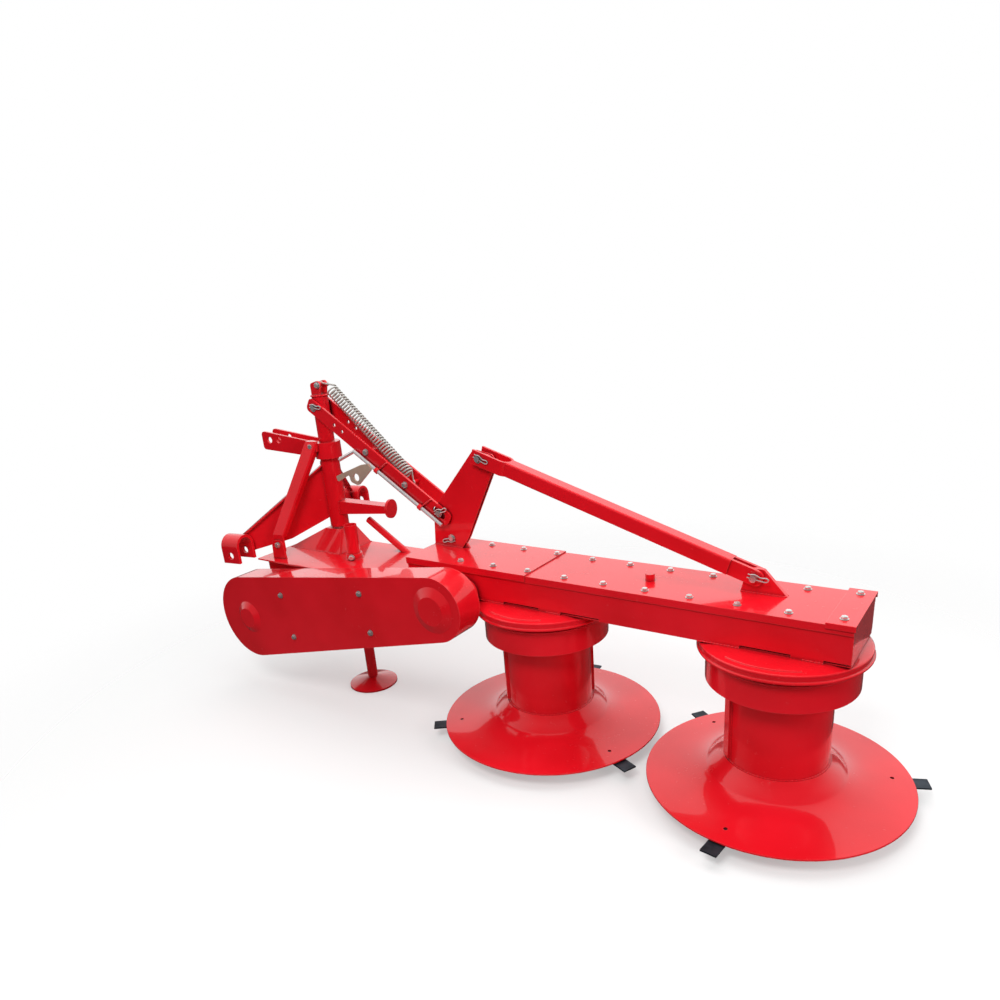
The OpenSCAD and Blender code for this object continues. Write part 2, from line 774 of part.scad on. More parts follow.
// Close-wound tension spring in one length of wire, from the post's bolt to the lower spacer
module lift_spring() {
    wire_d = 6;
    turns = 36;
    steps = 10;
    coil_from = [96, 98];
    coil_to = [492, 18];
    bolt_up = [bolt_at[0], post_top + bolt_at[1] - link_top_z];
    post_hook = [bolt_up[0] * cos(link_pitch) + bolt_up[1] * sin(link_pitch),
        bolt_up[1] * cos(link_pitch) - bolt_up[0] * sin(link_pitch)];
    bar_hook = [spacer_at[1], 0];
    axis = unit(coil_to - coil_from);
    lift = [-axis[1], axis[0]];
    coil_r = (spring_d - wire_d) / 2;
    pitch = norm(coil_to - coil_from) / turns;
    coil = [for (i = [0:turns * steps]) let (a = 360 * i / steps, c = coil_from + axis * pitch * i / steps)
        let (q = c + lift * coil_r * cos(a)) [q[0], coil_r * sin(a), q[1]]];
    clear_bolt = (bolt_d + wire_d) / 2 + seat_gap;
    clear_bar = (spacer_d + wire_d) / 2 + seat_gap;
    first = [for (a = [-100:40:100]) post_hook + clear_bolt * (cos(a) * -axis + sin(a) * lift)];
    end = [for (a = [100:-40:-100]) bar_hook + clear_bar * (cos(a) * axis + sin(a) * lift)];
    path = concat([for (q = first) [q[0], 0, q[1]]], coil, [for (q = end) [q[0], 0, q[1]]]);
    color(STEEL)
        at_link()
            wire(path, wire_d, [0, 1, 0]);
}

// Cutter bar
module bar_trough() {
    notch_h = 9;
    tab_in = 84;
    tab_out = 138;
    wall = trough_w / 2;
    color(RED) {
        difference() {
            translate([bar_x0, -wall, bar_z]) cube([bar_x1 - bar_x0, trough_w, lid_z - bar_z]);
            translate([bar_x0 + sheet_t, -wall + sheet_t, bar_z + sheet_t])
                cube([bar_x1 - bar_x0 - 2 * sheet_t, trough_w - 2 * sheet_t, bar_h]);
            for (x = [0, drum_pitch], y = [-wall - 1, wall - sheet_t], run = [[-tab_in, tab_in],
                [tab_out, bar_x1]])
                translate([x + run[0], y, bar_z - 1])
                    cube([min(run[1] - run[0], tab_out), sheet_t + 1, notch_h + 1]);
        }
        bar_y(tilt_x, tilt_z, trunnion_d, -cover_back + sheet_t + 2, -wall);
        bar_y(tilt_x, tilt_z, trunnion_d, wall, rail_in + rail_t + boss_past);
    }
}
module lid_plate(x0, x1, z, w) {
    difference() {
        translate([x0, -w / 2, z - lip_h]) cube([x1 - x0, w, lip_h + sheet_t]);
        translate([x0 - 1, -w / 2 + sheet_t, z - lip_h - 1]) cube([x1 - x0 + 2, w - 2 * sheet_t, lip_h + 1]);
    }
}
module bar_lid() {
    color(RED) lid_plate(bar_x0, bar_x1, lid_z, bar_w);
}
module lid_doubler() {
    color(RED) lid_plate(bar_x0, doubler_past, lid_z + sheet_t, bar_w + 2 * sheet_t);
}
module end_strip() {
    fold_h = 10;
    color(RED) {
        translate([bar_x1 - strip_l, -bar_w / 2 - sheet_t, bar_top])
            cube([strip_l + sheet_t, bar_w + 2 * sheet_t, sheet_t]);
        for (y = [-bar_w / 2 - sheet_t, bar_w / 2])
            translate([bar_x1 - strip_l, y, bar_top - fold_h]) cube([strip_l + sheet_t, sheet_t, fold_h]);
        translate([bar_x1, -bar_w / 2, bar_z]) cube([sheet_t, bar_w, bar_h]);
    }
}
module rocker() {
    base_x0 = bar_x0 + 4;
    base_x1 = base_x0 + 132;
    outline = rounded([[base_x0, base_z, 0], [base_x1, base_z, 0], [base_x1 + 28, base_z + 40, 20],
        [rocker_top[0] + 44, rocker_top[1] - 40, 10], [rocker_top[0] + 40, rocker_top[1] + 8, 14],
        [rocker_top[0] - 36, rocker_top[1] + 24, 14], [rocker_pin[0] - 32, rocker_pin[1] + 10, 24]]);
    plate_y = rocker_y - rocker_face;
    color(RED)
        difference() {
            for (y = [plate_y, plate_y + rocker_t + rocker_gap])
                upright(y, y + rocker_t) polygon(outline);
            for (p = [rocker_pin, rocker_top, rocker_base])
                bar_y(p[0], p[1], pin_d, plate_y - 1, plate_y + 2 * rocker_face + 1);
        }
}
module rocker_lug() {
    foot_in = 40;
    foot_out = 74;
    lug_half = rocker_gap / 2 - seat_gap;
    color(RED)
        difference() {
            upright(rocker_y - lug_half, rocker_y + lug_half)
                polygon(rounded([[rocker_base[0] - foot_in, base_z, 0],
                    [rocker_base[0] + foot_out, base_z, 0],
                    [rocker_base[0] + 34, rocker_base[1] + 26, 16],
                        [rocker_base[0] - 26, rocker_base[1] + 26, 16]]));
            bar_y(rocker_base[0], rocker_base[1], pin_d, rocker_y - rocker_gap, rocker_y + rocker_gap);
        }
}
// Square tube, a bent loop at the rocker end and a fork at the ear
module strut() {
    loop_l = 88;
    loop_up = 50;
    head_back = 28;
    fork_t = 10;
    fork_l = 96;
    fork_up = 48;
    corner_r = 6;
    head = [rocker_top[0], rocker_y, rocker_top[1]];
    run = strut_foot - head;
    reach = norm(run);
    fork_skew = abs(run[1]) / reach * fork_l / 2;
    fork_in = strut_ear_t / 2 + fork_skew + 2 * seat_gap;
    tube_from = loop_l + clevis_in - sheet_t;
    tube_to = reach - fork_l + 2 * fork_t;
    half = strut_w / 2;
    color(RED)
        difference() {
            translate(head)
                rotate([0, 0, atan2(run[1], run[0])])
                    rotate([0, -atan2(run[2], norm([run[0], run[1]])), 0]) {
                        difference() {
                            union() {
                                translate([0, 0, -loop_up / 2])
                                    linear_extrude(loop_up) strut_loop(loop_l, head_back,
                                        clevis_in + plate_t);
                                translate([tube_from, 0, 0])
                                    rotate([90, 0, 90])
                                        linear_extrude(tube_to - tube_from)
                                            polygon(rounded([[-half, -half, corner_r],
                                                [half, -half, corner_r],
                                                [half, half, corner_r], [-half, half, corner_r]], 3));
                            }
                            translate([0, 0, -loop_up]) linear_extrude(2 * loop_up)
                                strut_loop(loop_l, reach, clevis_in);
                        }
                        for (y = [-fork_in - fork_t, fork_in])
                            upright(y, y + fork_t)
                                polygon(rounded([[reach - fork_l, -fork_up / 2, 0],
                                    [reach + 26, -fork_up / 2, 20],
                                    [reach + 26, fork_up / 2, 20], [reach - fork_l, fork_up / 2, 0]]));
                    }
            bar_y(head[0], head[2], pin_d, rocker_y - 2 * clevis_in, rocker_y + 2 * clevis_in);
            bar_y(strut_foot[0], strut_foot[2], pin_d, strut_foot[1] - strut_w, strut_foot[1] + strut_w);
        }
}
module strut_loop(l, back, r) {
    translate([l, 0]) circle(r = r);
    translate([-back, -r]) square([l + back, 2 * r]);
}
module strut_ear() {
    foot_in = 40;
    foot_out = 92;
    crown = 24;
    color(RED)
        difference() {
            upright(strut_foot[1] - strut_ear_t / 2, strut_foot[1] + strut_ear_t / 2)
                polygon(rounded([[strut_foot[0] - foot_in, bar_top, 0],
                    [strut_foot[0] + foot_out, bar_top, 0],
                    [strut_foot[0] + crown, strut_foot[2] + crown, 10],
                        [strut_foot[0] - crown, strut_foot[2] + crown, 10]]));
            bar_y(strut_foot[0], strut_foot[2], pin_d, strut_foot[1] - strut_ear_t,
                strut_foot[1] + strut_ear_t);
        }
}
module bar_pins() {
    link_half = link_face + plate_t + pin_over;
    head_half = clevis_in + plate_t + pin_over;
    base_half = rocker_face + pin_over;
    fork_half = strut_w / 2 + pin_over;
    color(STEEL) {
        bar_y(rocker_pin[0], rocker_pin[1], pin_d, post_y - link_half, post_y + link_half);
        bar_y(rocker_top[0], rocker_top[1], pin_d, rocker_y - head_half, rocker_y + head_half);
        bar_y(rocker_base[0], rocker_base[1], pin_d, rocker_y - base_half, rocker_y + base_half);
        bar_y(strut_foot[0], strut_foot[2], pin_d, strut_foot[1] - fork_half, strut_foot[1] + fork_half);
    }
}
module filler_plug() {
    plug_d = 30;
    plug_h = 22;
    color(RED) translate([drum_pitch / 2 - 6, -6, bar_top]) cylinder(d = plug_d, h = plug_h);
}
// Drums
module drum_cap(i) {
    bead_r = 5;
    rim_r = cap_d / 2 - bead_r;
    upper_r = rim_r - sheet_t;
    upper_z = bar_z - 2 * bead_r;
    hole_r = spindle_d / 2 + 50;
    step_r = cap_d / 2 - 44;
    ridge_from = -118;
    ridge_turn = 56;
    color(RED)
        at_drum(i) {
            rotate_extrude() {
                polygon([[hole_r, bar_z - sheet_t], [step_r, bar_z - sheet_t],
                    [upper_r - sheet_t, upper_z - bead_r],
                    [upper_r - sheet_t, cap_z + bead_r], [rim_r, cap_z + bead_r], [rim_r, upper_z],
                    [upper_r, upper_z + bead_r], [step_r, bar_z], [hole_r, bar_z]]);
                translate([rim_r, cap_z + bead_r]) circle(r = bead_r);
                translate([upper_r, upper_z]) circle(r = bead_r);
            }
            rotate(ridge_from)
                rotate_extrude(angle = ridge_turn)
                    translate([(step_r + upper_r) / 2, (bar_z + upper_z + bead_r) / 2 - 1]) circle(r = 4);
        }
}
module drum_cap_1() { drum_cap(0); }
module drum_cap_2() { drum_cap(1); }
module spindle(i) {
    flange_r = spindle_d / 2 + 45;
    flange_t = 14;
    color(STEEL)
        at_drum(i) {
            translate([0, 0, skid_floor + seat_gap])
                cylinder(d = spindle_d, h = bar_z - skid_floor - seat_gap);
            translate([0, 0, bar_z - flange_t]) cylinder(r = flange_r, h = flange_t);
        }
}
module spindle_1() { spindle(0); }
module spindle_2() { spindle(1); }
module drum(i) {
    rib_w = 34;
    rib_t = 8;
    rib_in = 8;
    rib_turn = -140;
    color(RED)
        at_drum(i)
            translate([0, 0, drum_z]) {
                difference() {
                    cylinder(d = drum_d, h = tube_h);
                    translate([0, 0, -1]) cylinder(d = drum_d - 2 * drum_wall, h = tube_h + 2);
                }
                for (turn = [rib_turn, rib_turn + 180])
                    rotate(turn)
                        translate([(drum_d - drum_wall) / 2, -rib_w / 2, rib_in])
                            cube([drum_wall / 2 + rib_t, rib_w, tube_h - 2 * rib_in]);
            }
}
module drum_head(i) {
    bore_r = spindle_d / 2 + fit;
    hub_r = spindle_d / 2 + 22;
    hub_h = 60;
    lip = 4;
    r = drum_d / 2 - drum_wall;
    h = head_d / 2;
    color(RED)
        at_drum(i)
            rotate_extrude()
                polygon([[r, head_z], [h, head_z], [h, head_top - 2 * lip], [h + lip, head_top - lip],
                    [h + lip, head_top],
                    [bore_r, head_top], [bore_r, head_top - hub_h], [hub_r, head_top - hub_h],
                    [hub_r, head_top - drum_wall], [h - drum_wall, head_top - drum_wall],
                    [h - drum_wall, head_z + drum_wall], [r, head_z + drum_wall]]);
}
module drum_1() { drum(0); }
module drum_2() { drum(1); }
module drum_head_1() { drum_head(0); }
module drum_head_2() { drum_head(1); }
module disc(i, phase) {
    seat_r = drum_d / 2 - 30;
    hole_d = 12;
    upper = [for (k = [0:flare_steps]) let (t = k / flare_steps) [flare_r(t), rim_z + flare(t)]];
    lower = [for (k = [flare_steps:-1:0]) flare_low(k / flare_steps)];
    color(RED)
        at_drum(i)
            difference() {
                rotate_extrude()
                    polygon(concat(upper, [[seat_r, drum_z], [seat_r, drum_z - disc_t]], lower));
                for (k = [0:knife_count - 1])
                    rotate(phase + 360 / knife_count * k)
                        translate([knife_pivot_r, 0, 0]) cylinder(d = hole_d, h = drum_z);
            }
}
module disc_1() { disc(0, -knife_phase); }
module disc_2() { disc(1, knife_phase); }
module knives(i, phase) {
    pivot_d = 26;
    pivot_low = 6;
    heel = 26;
    lower = [for (k = [0:flare_steps]) flare_low(k / flare_steps)];
    color(DARK)
        at_drum(i)
            for (k = [0:knife_count - 1])
                rotate(phase + 360 / knife_count * k)
                    difference() {
                        union() {
                            translate([knife_pivot_r - heel, -knife_w / 2, knife_z])
                                cube([knife_tip_r - knife_pivot_r + heel, knife_w, knife_t]);
                            translate([knife_pivot_r, 0, knife_z - pivot_low])
                                cylinder(d = pivot_d, h = drum_z - knife_z);
                        }
                        rotate_extrude() polygon(concat(lower, [[flare_in, head_z], [disc_d / 2, head_z]]));
                    }
}
module knives_1() { knives(0, -knife_phase); }
module knives_2() { knives(1, knife_phase); }
module skid(i) {
    bore_r = spindle_d / 2 + fit;
    hub_r = spindle_d / 2 + 20;
    dish_t = 4;
    flat_r = skid_d / 2 - 70;
    color(DARK)
        at_drum(i)
            rotate_extrude()
                polygon([[0, 0], [flat_r, 0], [skid_d / 2 - 14, skid_h - dish_t],
                    [skid_d / 2, skid_h - dish_t],
                    [skid_d / 2, skid_h], [skid_d / 2 - 16, skid_h], [flat_r - 2, dish_t], [hub_r, dish_t],
                    [hub_r, skid_h + 6], [bore_r, skid_h + 6], [bore_r, skid_floor], [0, skid_floor]]);
}
module skid_1() { skid(0); }
module skid_2() { skid(1); }

module placed() translate(frame_shift) children();
placed() swing_post();
placed() post_ring();
placed() post_roof();
placed() deck();
placed() rail_near();
placed() rail_far();
placed() cross_plates();
placed() leg_sleeve();
placed() lock_lug();
placed() safety_rod();
placed() belt_cover();
placed() belt_back();
placed() input_housing();
placed() link_pin();
placed() input_shaft();
placed() parking_leg();
placed() hitch_sleeve();
placed() top_ears();
placed() wing_left();
placed() wing_right();
placed() loop_left();
placed() loop_right();
placed() stop_arm();
placed() lock_bar();
placed() link_bars();
placed() latch_rod();
placed() latch_hook();
placed() lift_spring();
placed() bar_trough();
placed() bar_lid();
placed() lid_doubler();
placed() end_strip();
placed() rocker();
placed() rocker_lug();
placed() strut();
placed() strut_ear();
placed() bar_pins();
placed() filler_plug();
placed() drum_cap_1();
placed() drum_cap_2();
placed() spindle_1();
placed() spindle_2();
placed() drum_1();
placed() drum_head_1();
placed() disc_1();
placed() knives_1();
placed() drum_2();
placed() drum_head_2();
placed() disc_2();
placed() knives_2();
placed() skid_1();
placed() skid_2();
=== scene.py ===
# %% Load the frame
import json
import math

import bmesh
import bpy
from mathutils import Matrix, Quaternion, Vector

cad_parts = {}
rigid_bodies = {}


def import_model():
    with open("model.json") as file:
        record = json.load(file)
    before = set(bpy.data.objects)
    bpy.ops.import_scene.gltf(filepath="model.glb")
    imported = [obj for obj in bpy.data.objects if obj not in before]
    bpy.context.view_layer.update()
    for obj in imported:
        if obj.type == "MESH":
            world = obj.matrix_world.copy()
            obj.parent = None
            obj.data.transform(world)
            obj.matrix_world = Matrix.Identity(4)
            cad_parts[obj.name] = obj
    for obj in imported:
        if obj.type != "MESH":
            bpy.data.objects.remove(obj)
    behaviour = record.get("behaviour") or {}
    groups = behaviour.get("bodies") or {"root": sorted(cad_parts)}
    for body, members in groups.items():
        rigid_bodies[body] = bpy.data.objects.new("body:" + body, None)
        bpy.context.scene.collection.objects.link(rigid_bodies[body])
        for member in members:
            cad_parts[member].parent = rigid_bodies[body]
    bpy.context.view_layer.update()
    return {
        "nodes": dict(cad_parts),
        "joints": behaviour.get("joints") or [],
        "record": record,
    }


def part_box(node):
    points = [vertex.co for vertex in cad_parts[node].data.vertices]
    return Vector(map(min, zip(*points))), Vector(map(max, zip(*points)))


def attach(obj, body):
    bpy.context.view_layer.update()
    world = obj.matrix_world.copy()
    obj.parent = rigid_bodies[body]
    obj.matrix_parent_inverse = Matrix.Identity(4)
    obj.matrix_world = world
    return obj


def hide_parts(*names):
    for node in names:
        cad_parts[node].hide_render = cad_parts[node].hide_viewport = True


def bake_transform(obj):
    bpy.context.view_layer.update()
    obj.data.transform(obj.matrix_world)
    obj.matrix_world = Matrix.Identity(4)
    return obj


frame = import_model()
MM = 0.001
joints = {joint["name"]: joint for joint in frame["joints"]}


# %% [markdown]
# # A two-drum mower in red enamel
# The machine is a box bar that carries two drums, each with a flared cutting disc. Behind it are
# a belt cover, a post and a lift linkage. The solids come from the frame with their true sizes.
# This lesson gives them paint, plating, fasteners, wire and weld seams, and sets up the camera
# and the light.

# %% [markdown]
# ## Camera
# The picture was taken from 1.5 m above the ground, to the right of the machine's middle. A camera
# can be turned with Euler angles, but azimuth, elevation and roll say more about where the
# photographer stood, so the rotation is built from those three. The shift keeps the horizon where
# the picture has it.

# %% Camera
CAMERA_FROM_DRUM = Vector((1.339, -2.061, 1.187))
CAMERA_AZIMUTH = math.radians(37.24)
CAMERA_ELEVATION = math.radians(21.52)
CAMERA_ROLL = math.radians(-5.05)
CAMERA_LENS = 27.57
CAMERA_SHIFT = (0.0077, 0.1004)

towards_camera = Vector((
    math.sin(CAMERA_AZIMUTH) * math.cos(CAMERA_ELEVATION),
    -math.cos(CAMERA_AZIMUTH) * math.cos(CAMERA_ELEVATION),
    math.sin(CAMERA_ELEVATION),
))
aim = (-towards_camera).to_track_quat("-Z", "Y")
camera = bpy.data.objects.new("camera", bpy.data.cameras.new("camera"))
camera.location = Vector(joints["drum_1_spin"]["pos_m"]) + CAMERA_FROM_DRUM
camera.rotation_mode = "QUATERNION"
camera.rotation_quaternion = aim @ Quaternion((0, 0, 1), CAMERA_ROLL)
camera.data.lens = CAMERA_LENS
camera.data.shift_x, camera.data.shift_y = CAMERA_SHIFT
bpy.context.scene.collection.objects.link(camera)
bpy.context.scene.camera = camera
print("camera at", tuple(round(c, 3) for c in camera.location))


# %% [markdown]
# ## Shader sums in plain Python
# A finish is a few patterns mixed together. Wiring every Math node by hand hides the idea, so one
# small class wraps a socket: `1 - mask` or `grain * 0.2 + 0.3` then adds the Math nodes by itself.
# All other nodes come from its method `add`, which takes the type, the settings and the socket
# values.

# %% Socket wrapper
class Wire:
    """A shader socket that can be used in sums."""

    def __init__(self, tree, socket=None):
        self.tree = tree
        self.socket = socket

    def add(self, kind, settings=None, values=None, out=0):
        node = self.tree.nodes.new(kind)
        for name, value in (settings or {}).items():
            if name == "stops":
                set_stops(node.color_ramp, value)
            else:
                setattr(node, name, value)
        for key, value in (values or {}).items():
            feed(self.tree, node.inputs[key], value)
        return Wire(self.tree, node.outputs[out])

    def beside(self, name):
        """Another output of the same node."""
        return Wire(self.tree, self.socket.node.outputs[name])

    def maths(self, operation, first, second):
        return self.add("ShaderNodeMath", {"operation": operation}, {0: first, 1: second})

    def __add__(self, other):
        return self.maths("ADD", self, other)

    def __sub__(self, other):
        return self.maths("SUBTRACT", self, other)

    def __rsub__(self, other):
        return self.maths("SUBTRACT", other, self)

    def __mul__(self, other):
        return self.maths("MULTIPLY", self, other)

    __radd__ = __add__
    __rmul__ = __mul__


def feed(tree, socket, value):
    if isinstance(value, Wire):
        tree.links.new(value.socket, socket)
    else:
        socket.default_value = value


def set_stops(ramp, stops):
    while len(ramp.elements) < len(stops):
        ramp.elements.new(0.5)
    for element, (place, level) in zip(ramp.elements, stops):
        element.position = place
        element.color = (level, level, level, 1)


print("socket wrapper ready")


# %% Parts of a finish
def new_finish(name):
    """A material, its Principled shader and a wire on its Object coordinates."""
    material = bpy.data.materials.new(name)
    material.use_nodes = True
    tree = material.node_tree
    place = Wire(tree).add("ShaderNodeTexCoord", out=3)
    return material, tree.nodes["Principled BSDF"], place


def connect(material, shader, values):
    for name, value in values.items():
        feed(material.node_tree, shader.inputs[name], value)


def blend_colours(wire, mask, low, high):
    settings = {"data_type": "RGBA", "blend_type": "MIX"}
    return wire.add("ShaderNodeMix", settings, {0: mask, 6: low, 7: high}, out=2)


def noise(place, scale, detail=3.0, rough=0.55):
    values = {"Vector": place, "Scale": scale, "Detail": detail, "Roughness": rough}
    return place.add("ShaderNodeTexNoise", None, values)


def ramp(wire, low, high):
    return wire.add("ShaderNodeValToRGB", {"stops": [(low, 0.0), (high, 1.0)]}, {0: wire})


def dot(wire, first, second):
    settings = {"operation": "DOT_PRODUCT"}
    return wire.add("ShaderNodeVectorMath", settings, {0: first, 1: second}, out=1)


def rounded(place, radius, samples=4):
    """The normal as if the edges had this radius."""
    return place.add("ShaderNodeBevel", {"samples": samples}, {"Radius": radius})


def openness(place, reach):
    """1 in the open and less in creases that are narrower than the reach."""
    return place.add("ShaderNodeAmbientOcclusion", {"samples": 8}, {"Distance": reach}, out=1)


def bumped(height, normal, strength, depth):
    values = {"Strength": strength, "Distance": depth, "Height": height, "Normal": normal}
    return height.add("ShaderNodeBump", None, values)


print("finish helpers ready")


# %% [markdown]
# ## Red enamel
# Nearly every sheet and tube is sprayed with one glossy red. Fresh enamel isn't flat: it has a fine
# orange-peel skin, a slow drift in gloss, and dull specks where dust fell into it. A Bevel node
# rounds the light at the sharp edges of the folded sheets by a millimetre or so, which real edges
# also show. On top of that, shade is painted into the creases as a darker red, and an Ambient
# Occlusion node finds the creases. A highlight is painted along the edges as a paler red.

# %% Red enamel
ENAMEL_RED = (0.86, 0.009, 0.02, 1)
ENAMEL_DEEP = (0.72, 0.005, 0.012, 1)
ENAMEL_DUST = (0.7, 0.06, 0.055, 1)
# Painted shade: the darker red that is painted into creases.
ENAMEL_SHADE = (0.16, 0.004, 0.006, 1)
# Painted highlight: the paler red that is painted along convex edges.
ENAMEL_HIGHLIGHT = (0.95, 0.13, 0.13, 1)
DRIFT_SCALE, DUST_SCALE, PEEL_SCALE, WAVE_SCALE = 3.5, 46.0, 260.0, 22.0
DUST_SHARE, EDGE_HIGHLIGHT_SHARE, WAVE_SHARE = 0.12, 0.5, 1.6
PEEL_STRENGTH, PEEL_DEPTH = 0.035, 2 * MM
EDGE_RADIUS = 1.6 * MM
EDGE_WIDTH = 4 * MM
CREASE_REACH = 22 * MM


def enamel_finish(name):
    material, shader, place = new_finish(name)
    drift = ramp(noise(place, DRIFT_SCALE, 2.0), 0.35, 0.7)
    dust = ramp(noise(place, DUST_SCALE, 4.0, 0.7), 0.6, 0.78)
    peel = noise(place, PEEL_SCALE, 1.5) + noise(place, WAVE_SCALE, 1.0) * WAVE_SHARE
    body = blend_colours(place, drift, ENAMEL_RED, ENAMEL_DEEP)
    dusty = blend_colours(place, dust * DUST_SHARE, body, ENAMEL_DUST)
    # Painted shade: Ambient Occlusion darkens the red in creases and under overhangs.
    open_sky = openness(place, CREASE_REACH)
    crease_shaded = blend_colours(place, ramp(open_sky, 0.25, 0.8), ENAMEL_SHADE, dusty)
    # Painted highlight: convex edges, found from a Bevel normal, get a paler red.
    facing = place.add("ShaderNodeNewGeometry", out=1)
    turned = dot(place, rounded(place, EDGE_WIDTH, samples=6), facing)
    edge_highlight = ramp(1 - turned, 0.04, 0.3) * open_sky * EDGE_HIGHLIGHT_SHARE
    connect(material, shader, {
        "Base Color": blend_colours(place, edge_highlight, crease_shaded, ENAMEL_HIGHLIGHT),
        "Roughness": drift * 0.06 + dust * 0.1 + 0.2,
        "Normal": bumped(peel, rounded(place, EDGE_RADIUS), PEEL_STRENGTH, PEEL_DEPTH),
        "Specular IOR Level": 0.3,
        "Coat Weight": 0.8,
        "Coat Roughness": 0.04,
        "IOR": 1.5,
    })
    return material


enamel = enamel_finish("red_enamel")
print("made", enamel.name)


# %% [markdown]
# ## Bare and plated metal
# The fasteners are zinc plated, the latch rod is chromed, the hook has a yellow passivation, the
# knives are dark spring steel and the skids are steel that has slid over stubble. All are metals
# that differ in colour, in roughness and in the scale of their marks, so one function makes them
# from a short table. The reach says how near another surface has to be for shade to be painted
# into a crease.

# %% Metals
METALS = {
    "zinc_steel": {
        "light": (0.93, 0.93, 0.91, 1), "dark": (0.7, 0.7, 0.69, 1), "scale": 90.0,
        "rough": 0.18, "spread": 0.14, "metal": 0.8, "bump": 0.03, "reach": 12 * MM},
    "chrome_rod": {
        "light": (0.95, 0.95, 0.95, 1), "dark": (0.82, 0.82, 0.83, 1), "scale": 30.0,
        "rough": 0.12, "spread": 0.08, "metal": 0.6, "bump": 0.005, "reach": 6 * MM},
    "spring_wire": {
        "light": (0.86, 0.84, 0.79, 1), "dark": (0.64, 0.62, 0.57, 1), "scale": 120.0,
        "rough": 0.26, "spread": 0.16, "metal": 0.55, "bump": 0.02, "reach": 40 * MM},
    "knife_steel": {
        "light": (0.06, 0.075, 0.095, 1), "dark": (0.03, 0.036, 0.045, 1), "scale": 60.0,
        "rough": 0.42, "spread": 0.2, "metal": 0.75, "bump": 0.05, "reach": 10 * MM},
    "yellow_zinc": {
        "light": (0.78, 0.62, 0.46, 1), "dark": (0.58, 0.47, 0.38, 1), "scale": 45.0,
        "rough": 0.3, "spread": 0.2, "metal": 0.5, "bump": 0.03, "reach": 10 * MM},
    "polished_steel": {
        "light": (0.78, 0.77, 0.75, 1), "dark": (0.56, 0.55, 0.53, 1), "scale": 70.0,
        "rough": 0.2, "spread": 0.15, "metal": 1.0, "bump": 0.02, "reach": 12 * MM},
    "worn_steel": {
        "light": (0.34, 0.33, 0.32, 1), "dark": (0.12, 0.1, 0.09, 1), "scale": 24.0,
        "rough": 0.38, "spread": 0.3, "metal": 0.9, "bump": 0.12, "reach": 12 * MM},
}
# Painted shade: the dark colour that is painted into the creases of the metals.
METAL_SHADE = (0.05, 0.045, 0.04, 1)
METAL_EDGE = 0.7 * MM
CLOUD_SCALE, GRAIN_SCALE = 0.25, 6.0
GRAIN_DEPTH, GRAIN_ROUGH = 1 * MM, 0.06


def metal_finish(name, look):
    material, shader, place = new_finish(name)
    cloud = ramp(noise(place, look["scale"] * CLOUD_SCALE, 3.0), 0.35, 0.68)
    grain = noise(place, look["scale"] * GRAIN_SCALE, 2.0)
    unshaded = blend_colours(place, cloud, look["light"], look["dark"])
    # Painted shade: Ambient Occlusion darkens the metal in creases and inside the coil.
    open_sky = ramp(openness(place, look["reach"]), 0.15, 0.75)
    connect(material, shader, {
        "Base Color": blend_colours(place, open_sky, METAL_SHADE, unshaded),
        "Roughness": cloud * look["spread"] + grain * GRAIN_ROUGH + look["rough"],
        "Normal": bumped(grain, rounded(place, METAL_EDGE), look["bump"], GRAIN_DEPTH),
        "Metallic": look["metal"],
    })
    return material


finishes = {name: metal_finish(name, look) for name, look in METALS.items()}
finishes["red_paint"] = enamel
print("finishes", sorted(finishes))


# %% [markdown]
# ## Finish every solid
# The frame's record already says which slot each solid uses, so the solids only need the finish of
# that name.

# %% Apply the finishes
for row in frame["record"]["subparts"]:
    materials = frame["nodes"][row["node"]].data.materials
    materials.clear()
    materials.append(finishes[row["material_slot"]])


# %% [markdown]
# ## Where the solids are
# Fasteners sit on holes and pins that the solids already have. A node can hold several separate
# solids, such as the four linkage pins, so a helper merges a copy of the node's loose triangles and
# returns the box of each solid.

# %% Boxes of separate solids
MERGE_DISTANCE = 0.01 * MM


def solid_boxes(node):
    mesh = bmesh.new()
    mesh.from_mesh(frame["nodes"][node].data)
    bmesh.ops.remove_doubles(mesh, verts=mesh.verts, dist=MERGE_DISTANCE)
    left, boxes = set(mesh.verts), []
    while left:
        found, open_verts = set(), [left.pop()]
        while open_verts:
            vert = open_verts.pop()
            found.add(vert)
            for edge in vert.link_edges:
                other = edge.other_vert(vert)
                if other in left:
                    left.discard(other)
                    open_verts.append(other)
        low = Vector([min(vert.co[i] for vert in found) for i in range(3)])
        high = Vector([max(vert.co[i] for vert in found) for i in range(3)])
        boxes.append((low, high))
    mesh.free()
    return sorted(boxes, key=lambda box: tuple(box[0]))


def middle(box):
    return (box[0] + box[1]) / 2


pin_boxes = solid_boxes("bar_pins")
rocker_pin, rocker_foot_pin, rocker_head_pin, strut_pin = pin_boxes
print("linkage pins", [tuple(round(c, 3) for c in middle(box)) for box in pin_boxes])


# %% [markdown]
# ## Node trees that make meshes
# Bolts, washers, wires and weld seams repeat, so Geometry Nodes make them. Each tree is built here
# with named inputs, ends by realizing its instances and setting the material, and its result is
# stored as a plain mesh.

# %% Geometry Nodes helper
SMOOTH_ANGLE = 0.6


